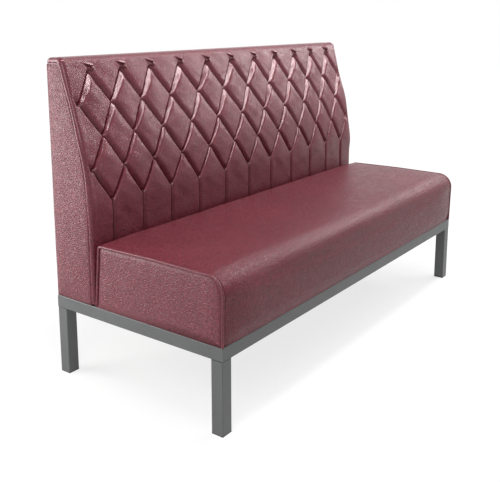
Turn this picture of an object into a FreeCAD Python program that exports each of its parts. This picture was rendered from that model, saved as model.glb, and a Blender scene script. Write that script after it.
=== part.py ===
import FreeCAD, Part
import math
import os

# Booth bench: a quilted back unit and a padded seat unit, both bolted to a welded base of square tube.
# Lengths are millimetres and angles degrees. X runs along the bench, the front faces -Y and Z is up.
# The origin is on the floor, under the middle of the bench.
# In the side profiles, "out" is the distance forward from the rear face and "up" the height over the floor.

# Bench
bench_length = 1600.0
frame_depth = 670.0
frame_height = 260.0
seat_overhang = 10.0

# Square steel tube of the base
tube_size = 40.0
tube_wall = 2.0
tube_inner_radius = 0.5
cross_rail_offset = 270.0

# Plastic glides in the legs
glide_thickness = 3.0
glide_inset = 0.5
glide_plug_height = 20.0
glide_plug_wall = 2.5
glide_clearance = 0.2

# Mounting plates welded inside the base
plate_length = 60.0
plate_depth = 36.0
plate_thickness = 4.0
plate_spacing = 560.0

# Machine bolts, washers and threaded inserts
bolt_radius = 4.0
bolt_length = 20.0
bolt_head_width = 13.0
bolt_head_height = 5.3
bolt_clearance = 0.5
washer_radius = 8.0
washer_thickness = 1.6
insert_radius = 6.0
insert_length = 15.0
thread_clearance = 0.1

# Upholstery, both units
leather = 2.5
turn_under = 26.0
hem_radius = 8.0
end_pad = 10.0
soft_gap = 0.3
dust_cover_thickness = 1.0

# Seat profile
seat_thickness = 204.0
seat_rear_rake = 20.0
seat_rear_radius = 14.0
seat_front_radius = 56.0
seat_front_draft = 4.0
seat_crown = 3.0
seat_crown_radius = 2500.0
seat_crown_share = 0.48
seat_end_draw = 3.0
seat_end_softness = 150.0
unit_gap = 1.0

# Welt round the seat's end panels
piping_radius = 4.0
piping_proud = 1.0
panel_recess = 2.0

# Seat box
plywood = 18.0
seat_board_height = 105.0
deck_thickness = 15.0
front_foam = 25.0
batten_width = 40.0
batten_height = 30.0
vent_radius = 15.0
vent_columns = 6
vent_rows = 2

# Back profile
back_depth = 173.0
back_height = 752.0
back_knee_height = 408.0
back_top_depth = 68.5
back_bend_radius = 930.0
back_front_radius = 25.0
back_rear_radius = 15.0
back_side_radius = 8.0
back_seam_inset = 9.5

# Back layers
quilt_thickness = 20.0
back_foam_thickness = 20.0
back_board_thickness = 6.0
rear_board_thickness = 5.0
base_board_thickness = 25.0
top_rail_height = 40.0
back_front_fixing = 108.0

# Diamond quilting
diamond_columns = 11
diamond_rows = 4
centre_diamonds = 6
centre_diamond_width = 147.0
end_diamond_width = 133.0
diamond_half_height = 101.0
bottom_tip_height = 318.0
groove_depth = 13.0
groove_shoulder_depth = 4.5
groove_half_width = 34.0
groove_shoulder_half_width = 11.0
pleat_half_width = 16.0
pleat_depth = 8.0
tuck_length = 22.0

# How far a cutting shape runs past what it cuts, and how close two places are that count as one
overrun = 10.0
touch = 0.1

# Places worked out from the sizes above
rear_y = (frame_depth + seat_overhang) / 2
base_up = frame_height + leather
seat_rear = back_depth + unit_gap
seat_front = frame_depth + seat_overhang
seat_top = frame_height + seat_thickness
deck_top = base_up + seat_board_height + deck_thickness
piping_x = bench_length / 2 - piping_radius
seat_cover_x = piping_x - piping_radius
seat_panel_x = bench_length / 2 - panel_recess
seat_pad_x = seat_panel_x - leather
seat_box_x = seat_pad_x - end_pad
seat_panel_inset = 2 * piping_radius - piping_proud
back_top = frame_height + back_height
back_pad_top = back_top - quilt_thickness
back_panel_x = bench_length / 2
back_pad_x = back_panel_x - leather
back_box_x = back_pad_x - end_pad
board_inset = quilt_thickness + back_foam_thickness
rib_inset = board_inset + back_board_thickness
rear_board_out = leather
rib_out = rear_board_out + rear_board_thickness
front_board_out = seat_front - seat_front_draft - leather - front_foam
front_inner = front_board_out - plywood
front_fixing = frame_depth - tube_size - plate_depth / 2
rear_fixing = tube_size + plate_depth / 2
cross_fixing_x = cross_rail_offset + tube_size / 2 + plate_depth / 2
plate_xs = (-plate_spacing, 0, plate_spacing)


# Points and profiles

def point(x, out, up):
    return FreeCAD.Vector(x, rear_y - out, up)


def outline(x, corners):
    """A closed wire across the bench at x. Each corner is (out, up, radius of its rounding)."""
    edges = []
    ends = []
    count = len(corners)
    for index in range(count):
        before = point(x, *corners[index - 1][:2])
        corner = point(x, *corners[index][:2])
        after = point(x, *corners[(index + 1) % count][:2])
        radius = corners[index][2]
        if radius <= 0:
            ends.append((corner, corner))
            continue
        back = (before - corner).normalize()
        ahead = (after - corner).normalize()
        half_angle = back.getAngle(ahead) / 2
        middle = (back + ahead).normalize()
        reach = radius / math.tan(half_angle)
        start = corner + back * reach
        end = corner + ahead * reach
        crest = corner + middle * (radius / math.sin(half_angle) - radius)
        edges.append(Part.Arc(start, crest, end).toShape())
        ends.append((start, end))
    for index in range(count):
        edges.append(Part.makeLine(ends[index - 1][1], ends[index][0]))
    return Part.Wire(Part.__sortEdges__(edges))


def inset(corners, distance):
    """The same open run of corners moved inward, which is to the right of its direction."""
    moved = []
    lines = []
    for first, second in zip(corners, corners[1:]):
        run = math.hypot(second[0] - first[0], second[1] - first[1])
        along = ((second[0] - first[0]) / run, (second[1] - first[1]) / run)
        shift = (along[1] * distance, -along[0] * distance)
        lines.append((first[0] + shift[0], first[1] + shift[1], along, run))
    moved.append((lines[0][0], lines[0][1], 0))
    for first, second, corner in zip(lines, lines[1:], corners[1:]):
        cross = first[2][0] * second[2][1] - first[2][1] * second[2][0]
        across = (second[0] - first[0], second[1] - first[1])
        reach = (across[0] * second[2][1] - across[1] * second[2][0]) / cross
        radius = max(corner[2] - distance, 0)
        moved.append((first[0] + first[2][0] * reach, first[1] + first[2][1] * reach, radius))
    last = lines[-1]
    moved.append((last[0] + last[2][0] * last[3], last[1] + last[2][1] * last[3], 0))
    return moved


def at_height(first, second, up):
    """The point where the line through two corners has this height."""
    share = (up - first[1]) / (second[1] - first[1])
    return (first[0] + (second[0] - first[0]) * share, up, 0)


def slab(corners, x_from, x_to):
    """A profile drawn out along the bench."""
    face = Part.Face(outline(x_from, corners))
    return face.extrude(FreeCAD.Vector(x_to - x_from, 0, 0))


def block(x_from, x_to, out_from, out_to, up_from, up_to):
    corner = FreeCAD.Vector(x_from, rear_y - out_to, up_from)
    return Part.makeBox(x_to - x_from, out_to - out_from, up_to - up_from, corner)


def upright(radius, height, x, out, up):
    return Part.makeCylinder(radius, height, point(x, out, up))


def mirrored(shape):
    return shape.mirror(FreeCAD.Vector(0, 0, 0), FreeCAD.Vector(1, 0, 0))


def save(name, *solids):
    shape = solids[0] if len(solids) == 1 else Part.makeCompound(solids)
    shape.exportStep("parts/" + name + ".step")


def save_pair(name, solid):
    """A right-hand piece and its mirror image."""
    save(name.replace("side", "right"), solid)
    save(name.replace("side", "left"), mirrored(solid))


# Steel base

def rounded_square(size, radius):
    """A square wire round the origin, standing in the YZ plane."""
    half = size / 2
    flat = half - radius
    bulge = flat + radius * math.sqrt(0.5)
    edges = []
    for quarter in range(4):
        turn = FreeCAD.Rotation(FreeCAD.Vector(1, 0, 0), 90 * quarter)
        low = turn.multVec(FreeCAD.Vector(0, half, -flat))
        high = turn.multVec(FreeCAD.Vector(0, half, flat))
        crest = turn.multVec(FreeCAD.Vector(0, bulge, bulge))
        end = turn.multVec(FreeCAD.Vector(0, flat, half))
        edges.append(Part.makeLine(low, high))
        edges.append(Part.Arc(high, crest, end).toShape())
    return Part.Wire(Part.__sortEdges__(edges))


def tube(length):
    """A length of square tube along +X from the origin."""
    outside = Part.Face(rounded_square(tube_size, tube_inner_radius + tube_wall))
    inside = Part.Face(rounded_square(tube_size - 2 * tube_wall, tube_inner_radius))
    return outside.cut(inside).extrude(FreeCAD.Vector(length, 0, 0))


def mitred_rail(length):
    """A rail along X with its outer face towards -Y, cut at 45 degrees at both ends."""
    rail = tube(length)
    rail.translate(FreeCAD.Vector(-length / 2, 0, 0))
    half = length / 2
    side = tube_size / 2
    plan = [(-half, -side), (half, -side), (half - tube_size, side), (tube_size - half, side)]
    corners = [FreeCAD.Vector(x, y, -side) for x, y in plan]
    keep = Part.Face(Part.makePolygon(corners + corners[:1])).extrude(FreeCAD.Vector(0, 0, tube_size))
    return rail.common(keep)


def placed_rail(length, turn, x, out):
    rail = mitred_rail(length)
    rail.rotate(FreeCAD.Vector(0, 0, 0), FreeCAD.Vector(0, 0, 1), turn)
    rail.translate(point(x, out, frame_height - tube_size / 2))
    return rail


def make_rails():
    middle = tube_size / 2
    side_x = bench_length / 2 - middle
    save("front_rail", placed_rail(bench_length, 0, 0, frame_depth - middle))
    save("rear_rail", placed_rail(bench_length, 180, 0, middle))
    save("right_rail", placed_rail(frame_depth, 90, side_x, frame_depth / 2))
    save("left_rail", placed_rail(frame_depth, -90, -side_x, frame_depth / 2))
    span = frame_depth - 2 * tube_size
    cross = tube(span)
    cross.rotate(FreeCAD.Vector(0, 0, 0), FreeCAD.Vector(0, 0, 1), 90)
    cross.translate(point(cross_rail_offset, frame_depth - tube_size, frame_height - middle))
    save_pair("side_cross_rail", cross)


def make_leg(end, out):
    """One leg each side, with its glide: a flat foot and a hollow plug inside the tube."""
    middle = tube_size / 2
    x = bench_length / 2 - middle
    leg = tube(frame_height - tube_size - glide_thickness)
    leg.rotate(FreeCAD.Vector(0, 0, 0), FreeCAD.Vector(0, 1, 0), -90)
    leg.translate(point(x, out, glide_thickness))
    save_pair(end + "_side_leg", leg)
    foot = tube_size / 2 - glide_inset
    plug = tube_size / 2 - tube_wall - tube_inner_radius - glide_clearance
    hollow = plug - glide_plug_wall
    plug_top = glide_thickness + glide_plug_height
    glide = block(x - foot, x + foot, out - foot, out + foot, 0, glide_thickness)
    glide = glide.fuse(block(x - plug, x + plug, out - plug, out + plug, glide_thickness, plug_top))
    glide = glide.cut(block(x - hollow, x + hollow, out - hollow, out + hollow, glide_thickness, plug_top))
    save_pair(end + "_side_glide", glide.removeSplitter())


def mounting_plate(x, out, x_size, out_size):
    low = frame_height - plate_thickness
    hole = upright(bolt_radius + bolt_clearance, plate_thickness, x, out, low)
    plate = block(x - x_size / 2, x + x_size / 2, out - out_size / 2, out + out_size / 2, low, frame_height)
    return plate.cut(hole)


def seat_fixings():
    rear = seat_rear_inner(base_up) + batten_width / 2
    places = [(x, front_fixing) for x in plate_xs]
    return places, [(x, rear) for x in (-cross_fixing_x, cross_fixing_x)]


def back_fixings():
    places = [(x, rear_fixing) for x in plate_xs]
    return places, [(x, back_front_fixing) for x in (-cross_fixing_x, cross_fixing_x)]


def make_plates():
    plates = []
    for on_rails, on_cross_rails in (seat_fixings(), back_fixings()):
        for x, out in on_rails:
            plates.append(mounting_plate(x, out, plate_length, plate_depth))
        for x, out in on_cross_rails:
            plates.append(mounting_plate(x, out, plate_depth, plate_length))
    save("mounting_plates", *plates)


# Fixings

def hexagon(width, height, x, out, up):
    across_corners = width / math.cos(math.radians(30))
    ring = []
    for corner in range(7):
        angle = math.radians(60 * corner)
        reach = across_corners / 2
        ring.append(point(x + reach * math.cos(angle), out + reach * math.sin(angle), up))
    return Part.Face(Part.makePolygon(ring)).extrude(FreeCAD.Vector(0, 0, height))


def make_fixings(unit, fixings):
    """Bolts up through the mounting plates, their washers, and the threaded inserts over them."""
    bolts = []
    washers = []
    inserts = []
    washer_low = frame_height - plate_thickness - washer_thickness
    for x, out in fixings[0] + fixings[1]:
        shank = upright(bolt_radius, bolt_length + washer_thickness, x, out, washer_low)
        head = hexagon(bolt_head_width, bolt_head_height, x, out, washer_low - bolt_head_height)
        bolts.append(head.fuse(shank))
        washer = upright(washer_radius, washer_thickness, x, out, washer_low)
        washers.append(washer.cut(upright(bolt_radius + bolt_clearance, washer_thickness, x, out, washer_low)))
        insert = upright(insert_radius, insert_length, x, out, base_up)
        inserts.append(insert.cut(upright(bolt_radius + thread_clearance, insert_length, x, out, base_up)))
    save(unit + "_bolts", *bolts)
    save(unit + "_washers", *washers)
    save(unit + "_insert_nuts", *inserts)


def drilled(solid, fixings, radius, depth, up):
    for x, out in fixings[0] + fixings[1]:
        solid = solid.cut(upright(radius, depth, x, out, up))
    return solid


# Seat unit

def seat_corners(draw):
    """The leather's outer face from the rear hem over the top to the front hem."""
    top = seat_top - draw
    front = seat_front - draw
    rear = seat_rear + seat_rear_rake * (seat_thickness - draw) / seat_thickness
    middle = seat_rear + (front - seat_rear) * seat_crown_share
    return [
        (seat_rear + turn_under, frame_height, 0),
        (seat_rear, frame_height, hem_radius),
        (rear, top, seat_rear_radius),
        (middle, top + seat_crown, seat_crown_radius),
        (front, top, seat_front_radius),
        (front - seat_front_draft, frame_height, hem_radius),
        (front - seat_front_draft - turn_under, frame_height, 0),
    ]


def seat_rear_outer(up):
    """Where the outside face of the raked rear board is at a height."""
    corners = inset(seat_corners(0), leather + soft_gap)
    return at_height(corners[1], corners[2], up)[0]


def seat_rear_inner(up):
    corners = inset(seat_corners(0), leather + soft_gap + plywood)
    return at_height(corners[1], corners[2], up)[0]


def seat_loft(profile):
    """A soft form along the seat, drawn in a little towards both ends."""
    soft = seat_cover_x - seat_end_softness
    stations = [(-seat_cover_x, seat_end_draw), (-soft, 0), (0, 0), (soft, 0), (seat_cover_x, seat_end_draw)]
    wires = [outline(x, profile(draw)) for x, draw in stations]
    return Part.makeLoft(wires, True, False)


def cover_profile(draw):
    outer = seat_corners(draw)
    return outer + inset(outer, leather)[::-1]


def foam_profile(draw):
    skin = inset(seat_corners(draw), leather + soft_gap)
    rear = at_height(skin[1], skin[2], deck_top)
    inside = [(front_board_out, skin[5][1], 0), (front_board_out, deck_top, 0)]
    return [rear] + skin[2:6] + inside


def make_seat_softs():
    """The leather over the seat, and the foam under it, which ends at the end pads."""
    save("seat_cover", seat_loft(cover_profile))
    foam = seat_loft(foam_profile)
    reach = seat_front + overrun
    room = block(-seat_box_x, seat_box_x, 0, reach, base_up, seat_top + seat_crown + overrun)
    save("seat_foam", foam.common(room))


def make_seat_ends():
    """End panel, the pad under it and the welt that closes the edge."""
    rim = inset(seat_corners(seat_end_draw), seat_panel_inset)
    low = [at_height(rim[1], rim[2], frame_height), at_height(rim[4], rim[5], frame_height)]
    face = [low[0]] + rim[2:5] + [low[1]]
    save_pair("seat_side_panel", slab(face, seat_pad_x, seat_panel_x))
    pad_low = [at_height(rim[1], rim[2], base_up), at_height(rim[4], rim[5], base_up)]
    pad = [pad_low[0]] + rim[2:5] + [pad_low[1]]
    save_pair("seat_side_pad", slab(pad, seat_box_x, seat_pad_x))
    line = inset(seat_corners(seat_end_draw), piping_radius - piping_proud)
    start = at_height(line[1], line[2], frame_height - overrun)
    end = at_height(line[4], line[5], frame_height - overrun)
    edges = outline(piping_x, [start] + line[2:5] + [end]).OrderedEdges
    path = [edge for edge in edges if edge.BoundBox.ZMax > frame_height]
    path = Part.Wire(Part.__sortEdges__(path))
    first = path.OrderedEdges[0]
    heading = first.tangentAt(first.FirstParameter)
    ring = Part.Wire(Part.makeCircle(piping_radius, path.OrderedVertexes[0].Point, heading))
    welt = path.makePipeShell([ring], True, False)
    below = frame_height - 2 * overrun
    rail_room = block(seat_cover_x, bench_length / 2, 0, seat_front + overrun, below, frame_height)
    save_pair("seat_side_piping", welt.cut(rail_room))


def make_seat_box():
    top = base_up + seat_board_height
    rear_low = seat_rear_outer(base_up)
    rear_high = seat_rear_outer(top)
    inner_low = seat_rear_inner(base_up)
    inner_high = seat_rear_inner(top)
    batten_top = base_up + batten_height
    batten_front = inner_low + batten_width
    batten_rear = front_inner - batten_width
    inner_x = seat_box_x - plywood
    rear_corner = (rear_low, base_up, hem_radius - leather)
    save("seat_front_board", block(-inner_x, inner_x, front_inner, front_board_out, base_up, top))
    rear = [rear_corner, (rear_high, top, 0), (inner_high, top, 0), (inner_low, base_up, 0)]
    save("seat_rear_board", slab(rear, -inner_x, inner_x))
    side = [rear_corner, (rear_high, top, 0), (front_board_out, top, 0), (front_board_out, base_up, 0)]
    save_pair("seat_side_board", slab(side, inner_x, seat_box_x))
    batten = [
        (inner_low, base_up, 0),
        (seat_rear_inner(batten_top), batten_top, 0),
        (batten_front, batten_top, 0),
        (batten_front, base_up, 0),
    ]
    fixings = seat_fixings()
    rear_batten = slab(batten, -inner_x, inner_x)
    save("seat_rear_batten", drilled(rear_batten, fixings, insert_radius, insert_length, base_up))
    front_batten = block(-inner_x, inner_x, batten_rear, front_inner, base_up, batten_top)
    save("seat_front_batten", drilled(front_batten, fixings, insert_radius, insert_length, base_up))
    divider = [
        (seat_rear_inner(batten_top), batten_top, 0),
        (inner_high, top, 0),
        (front_inner, top, 0),
        (front_inner, batten_top, 0),
        (batten_rear, batten_top, 0),
        (batten_rear, base_up, 0),
        (batten_front, base_up, 0),
        (batten_front, batten_top, 0),
    ]
    half = plywood / 2
    save_pair("seat_side_divider", slab(divider, cross_rail_offset - half, cross_rail_offset + half))
    make_seat_deck(top)
    sheet = block(
        -seat_box_x,
        seat_box_x,
        seat_rear + turn_under,
        seat_front - seat_front_draft - turn_under - seat_end_draw,
        base_up - dust_cover_thickness,
        base_up,
    )
    depth = dust_cover_thickness
    save("seat_dust_cover", drilled(sheet, fixings, bolt_radius + bolt_clearance, depth, base_up - depth))


def make_seat_deck(low):
    """Plywood deck with two rows of vent holes that let the foam breathe."""
    edge = [
        (seat_rear_outer(low), low, 0),
        (seat_rear_outer(deck_top), deck_top, 0),
        (front_board_out, deck_top, 0),
        (front_board_out, low, 0),
    ]
    deck = slab(edge, -seat_box_x, seat_box_x)
    depth = front_board_out - seat_rear_outer(deck_top)
    for column in range(vent_columns):
        x = seat_box_x * (2 * (column + 0.5) / vent_columns - 1)
        for row in range(vent_rows):
            out = seat_rear_outer(deck_top) + depth * (row + 1) / (vent_rows + 1)
            deck = deck.cut(upright(vent_radius, deck_thickness, x, out, low))
    save("seat_deck", deck)


# Back unit

def back_corners():
    """The cover's outer face from the rear seam over the top and down the front to its hem."""
    return [
        (0, back_pad_top, 0),
        (0, back_top, back_rear_radius),
        (back_top_depth, back_top, back_front_radius),
        (back_depth, frame_height + back_knee_height, back_bend_radius),
        (back_depth, frame_height, hem_radius),
        (back_depth - turn_under, frame_height, 0),
    ]


def front_line(depth, low, high):
    """The bent front face this far under the leather's outer face, from a high to a low place."""
    line = inset(back_corners()[2:5], depth)
    knee = (line[1][0], line[1][1], back_bend_radius - depth)
    return [at_height(line[0], line[1], high), knee, (line[2][0], low, 0)]


def front_layer(near, far, low, high):
    """A bent layer between two depths under the cover's outer face."""
    return front_line(near, low, high) + front_line(far, low, high)[::-1]


def front_place(distance):
    """Where the front face is, and the way it faces, at a distance up the leather from its foot."""
    knee = frame_height + back_knee_height
    slope = math.atan2(back_depth - back_top_depth, back_top - knee)
    tangent = back_bend_radius * math.tan(slope / 2)
    straight = back_knee_height - tangent
    bend = back_bend_radius * slope
    turned = min(max((distance - straight) / bend, 0), 1) * slope
    beyond = max(distance - straight - bend, 0)
    lower = min(distance, straight)
    out = back_depth - back_bend_radius * (1 - math.cos(turned)) - beyond * math.sin(turned)
    up = frame_height + lower + back_bend_radius * math.sin(turned) + beyond * math.cos(turned)
    return out, up, turned


def column_x(step):
    """X of a quilting column, counted in half diamonds from the middle. The end diamonds are narrower."""
    centre_steps = min(abs(step), centre_diamonds)
    end_steps = abs(step) - centre_steps
    reach = (centre_steps * centre_diamond_width + end_steps * end_diamond_width) / 2
    return math.copysign(reach, step)


def quilt_point(step, row):
    """A corner of the lattice on the leather, with the direction that the leather faces there."""
    out, up, turned = front_place(bottom_tip_height + row * diamond_half_height)
    facing = FreeCAD.Vector(0, -math.cos(turned), math.sin(turned))
    return point(column_x(step), out, up), facing


def groove(start, end, facing, profile):
    """A straight prism from start to end. Profile pairs are half widths and depths, from edge to bottom."""
    along = (end - start).normalize()
    across = along.cross(facing).normalize()
    outward = across.cross(along).normalize()
    left = [start - across * width - outward * depth for width, depth in profile]
    right = [start + across * width - outward * depth for width, depth in profile[-2::-1]]
    lip = [
        start + across * profile[0][0] + outward * overrun,
        start - across * profile[0][0] + outward * overrun,
    ]
    section = left + right + lip
    return Part.Face(Part.makePolygon(section + section[:1])).extrude(end - start)


def quilt_grooves():
    """Diamond grooves, pleats below, tucks above and short runs out to the side seams, in groups that
    are clear of each other."""
    full = [(groove_half_width, 0), (groove_shoulder_half_width, groove_shoulder_depth), (0, groove_depth)]
    pleat = [(pleat_half_width, 0), (0, pleat_depth)]
    tuck = [(groove_shoulder_half_width, 0), (0, groove_depth / 2)]
    widest = diamond_columns - 1
    columns = range(-widest, widest + 1, 2)
    groups = []
    for row in range(diamond_rows):
        odd_row = row if row % 2 else row + 1
        even_row = row + 1 if row % 2 else row
        for side in (-1, 1):
            leaning = []
            for step in columns:
                tip, tip_facing = quilt_point(step, even_row)
                corner, facing = quilt_point(step + side, odd_row)
                leaning.append(groove(tip, corner, (tip_facing + facing).normalize(), full))
            groups.append(leaning)
    pleats = []
    tucks = []
    for step in columns:
        tip, facing = quilt_point(step, 0)
        foot = point(tip.x, back_depth, frame_height + seat_thickness / 2)
        pleats.append(groove(tip, foot, FreeCAD.Vector(0, -1, 0), pleat))
        tip, facing = quilt_point(step, diamond_rows)
        rise = FreeCAD.Vector(0, facing.z, -facing.y)
        tucks.append(groove(tip, tip + rise * tuck_length, facing, tuck))
    runs = []
    for row in range(1, diamond_rows, 2):
        for side in (-1, 1):
            corner, facing = quilt_point(side * (widest + 1), row)
            end = FreeCAD.Vector(side * (bench_length / 2 + overrun), corner.y, corner.z)
            runs.append(groove(corner, end, facing, tuck))
    return groups + [pleats, tucks, runs]


def back_panel_corners(depth, low):
    """The end panel's profile: the cover's outer face set in by a depth, closed down the rear."""
    rim = inset(back_corners()[1:5], depth)
    foot = (back_depth - depth, low, 0)
    return [(0, low, 0), (0, rim[0][1], back_rear_radius), rim[1], rim[2], foot]


def end_skin_edges(cover):
    """The edges of the cover's outer face at both ends, above the hem."""
    found = []
    for edge in cover.Edges:
        middle = edge.valueAt((edge.FirstParameter + edge.LastParameter) / 2)
        skin = outline(middle.x, back_corners() + [(0, frame_height, 0)])
        on_skin = skin.distToShape(Part.Vertex(middle))[0] < touch
        at_end = edge.BoundBox.XLength < touch and abs(abs(middle.x) - bench_length / 2) < touch
        if on_skin and at_end and middle.z > frame_height + hem_radius:
            found.append(edge)
    return found


def make_back_cover():
    """Quilted leather and wadding down the front, round the top and over the rounded ends."""
    half = bench_length / 2
    inner = front_line(quilt_thickness, base_up, back_pad_top)
    hem = [(back_depth - turn_under, base_up, 0)]
    cover = slab(back_corners() + hem + inner[::-1], -half, half)
    cover = cover.makeFillet(back_side_radius, end_skin_edges(cover)).Solids[0]
    recess = slab(back_panel_corners(back_seam_inset, frame_height - overrun), back_pad_x, half + overrun)
    cover = cover.cut([recess, mirrored(recess)])
    for group in quilt_grooves():
        cover = cover.cut(group)
    save("back_quilted_cover", *cover.Solids)


def make_back_ends():
    panel = slab(back_panel_corners(back_seam_inset, frame_height), back_pad_x, back_panel_x)
    save_pair("back_side_panel", panel)
    rim = front_line(quilt_thickness + soft_gap, base_up, back_pad_top)
    pad = [(leather, base_up, 0), (leather, back_pad_top, 0)] + rim
    save_pair("back_side_pad", slab(pad, back_box_x, back_pad_x))


def make_back_layers():
    """Rear leather, rear board, bent front board and the foam slab on it."""
    half = back_box_x
    save("back_rear_cover", block(-back_pad_x, back_pad_x, 0, leather, frame_height, back_pad_top))
    save("back_rear_board", block(-half, half, rear_board_out, rib_out, base_up, back_pad_top))
    board = front_layer(board_inset, rib_inset, base_up, back_pad_top)
    save("back_front_board", slab(board, -half, half))
    foam = front_layer(quilt_thickness + soft_gap, board_inset, base_up, back_pad_top)
    save("back_foam", slab(foam, -half, half))


def make_back_carcass():
    """Shaped ribs between a base board and a top rail."""
    half = back_box_x
    base_top = base_up + base_board_thickness
    rib_top = back_pad_top - top_rail_height
    base = block(-half, half, rib_out, back_depth - rib_inset, base_up, base_top)
    save("back_base_board", drilled(base, back_fixings(), insert_radius, insert_length, base_up))
    rib = [(rib_out, base_top, 0), (rib_out, rib_top, 0)] + front_line(rib_inset, base_top, rib_top)
    save_pair("back_side_rib", slab(rib, half - plywood, half))
    mid = cross_rail_offset
    save_pair("back_mid_side_rib", slab(rib, mid - plywood / 2, mid + plywood / 2))
    face = front_line(rib_inset, base_up, back_pad_top)
    rail_low = at_height(face[0], face[1], rib_top)
    rail = [(rib_out, rib_top, 0), (rib_out, back_pad_top, 0), face[0], rail_low]
    save("back_top_rail", slab(rail, -half, half))


make_rails()
make_leg("front", frame_depth - tube_size / 2)
make_leg("rear", tube_size / 2)
make_plates()
make_fixings("seat", seat_fixings())
make_fixings("back", back_fixings())
make_seat_softs()
make_seat_ends()
make_seat_box()
make_back_cover()
make_back_ends()
make_back_layers()
make_back_carcass()
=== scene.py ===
import math
from collections import namedtuple

import bmesh
import bpy
import numpy as np
from bpy.props import FloatProperty, FloatVectorProperty, IntProperty, PointerProperty
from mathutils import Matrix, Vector
from mathutils.geometry import delaunay_2d_cdt


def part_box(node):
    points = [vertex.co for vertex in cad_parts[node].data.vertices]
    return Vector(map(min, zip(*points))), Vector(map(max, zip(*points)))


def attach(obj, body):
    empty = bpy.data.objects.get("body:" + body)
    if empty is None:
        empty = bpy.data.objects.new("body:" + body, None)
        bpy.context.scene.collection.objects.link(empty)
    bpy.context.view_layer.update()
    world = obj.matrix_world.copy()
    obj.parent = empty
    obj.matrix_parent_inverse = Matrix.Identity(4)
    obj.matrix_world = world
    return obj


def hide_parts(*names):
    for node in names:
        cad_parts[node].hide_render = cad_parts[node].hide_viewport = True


bl_info = {
    "name": "Quilted Booth Bench",
    "version": (1, 0, 0),
    "blender": (4, 5, 0),
    "location": "View3D > Sidebar > Booth Bench",
    "description": "Upholsters the booth bench in quilted leather and finishes its steel base",
    "category": "Add Mesh",
}

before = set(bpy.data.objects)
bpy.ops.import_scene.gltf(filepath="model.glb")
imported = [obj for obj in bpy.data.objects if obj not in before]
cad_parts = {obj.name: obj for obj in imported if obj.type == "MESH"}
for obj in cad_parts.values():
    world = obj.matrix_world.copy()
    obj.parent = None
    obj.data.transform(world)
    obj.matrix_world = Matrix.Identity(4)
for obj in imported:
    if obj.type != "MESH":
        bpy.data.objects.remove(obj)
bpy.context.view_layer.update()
COVER_LOW, COVER_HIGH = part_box("back_quilted_cover")
REAR_LOW, REAR_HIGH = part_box("back_rear_cover")
SEAT_LOW, SEAT_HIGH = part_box("seat_cover")
SEAT_PANEL_LOW, SEAT_PANEL_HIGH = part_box("seat_right_panel")
PIPING_LOW, PIPING_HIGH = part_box("seat_right_piping")
CLOTH_LOW, CLOTH_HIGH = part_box("seat_dust_cover")

BODY = "root"
SIDES = (("left", -1), ("right", 1))

# Gaps between neighbouring skins and between the two units, and the steps to a metre by which mesh corners
# are matched.
HAIR = 0.0002
UNIT_GAP = 0.001
MATCH_STEPS = 1e6


# Settings

def length(name, default, description):
    """A setting in metres."""
    return FloatProperty(name=name, default=default, description=description, unit="LENGTH", precision=4)


def share(name, default, description):
    """A setting from 0 to 1."""
    return FloatProperty(name=name, default=default, description=description, min=0.0, max=1.0,
                         subtype="FACTOR")


def angle(name, degrees, description):
    """A setting for a turn, shown in degrees."""
    return FloatProperty(name=name, default=math.radians(degrees), description=description, subtype="ANGLE")


def number(name, default, description, unit="NONE"):
    """A setting that is a plain number, or one in the given unit."""
    return FloatProperty(name=name, default=default, description=description, unit=unit)


def tint(name, default, description):
    """A setting for a colour."""
    return FloatVectorProperty(name=name, default=default, description=description, subtype="COLOR", size=3,
                               min=0.0, max=1.0)


class BoothBackSizes(bpy.types.PropertyGroup):
    depth: length("Depth", COVER_HIGH.y - COVER_LOW.y, "Depth of the back at its foot")
    knee_height: length("Knee height", 0.408, "Height over the frame where the face starts to lean back")
    top_depth: length("Top depth", 0.0685, "Depth of the back at its top")
    bend_radius: length("Bend radius", 0.93, "Radius of the bend in the face")
    front_radius: length("Front radius", 0.025, "Rounding of the top's front edge")
    rear_radius: length("Rear radius", 0.015, "Rounding of the top's rear edge")
    side_radius: length("Side radius", 0.011, "Rounding where the face turns onto the ends")
    seam_inset: length("Seam inset", 0.0125, "How far the end seam lies behind the face")
    seam_tuck: length("Seam tuck", 0.002, "How far the seam edge turns in")
    hem_radius: length("Hem radius", 0.008, "Rounding at the foot")
    turn_under: length("Turn under", 0.026, "Leather turned under at the foot")
    wadding: length("Wadding", 0.02, "Thickness of leather and wadding")
    rear_fullness: length("Rear fullness", 0.004, "How far the rear leather swells")
    end_fullness: length("End fullness", 0.0022, "How far the end panels swell")


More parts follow.
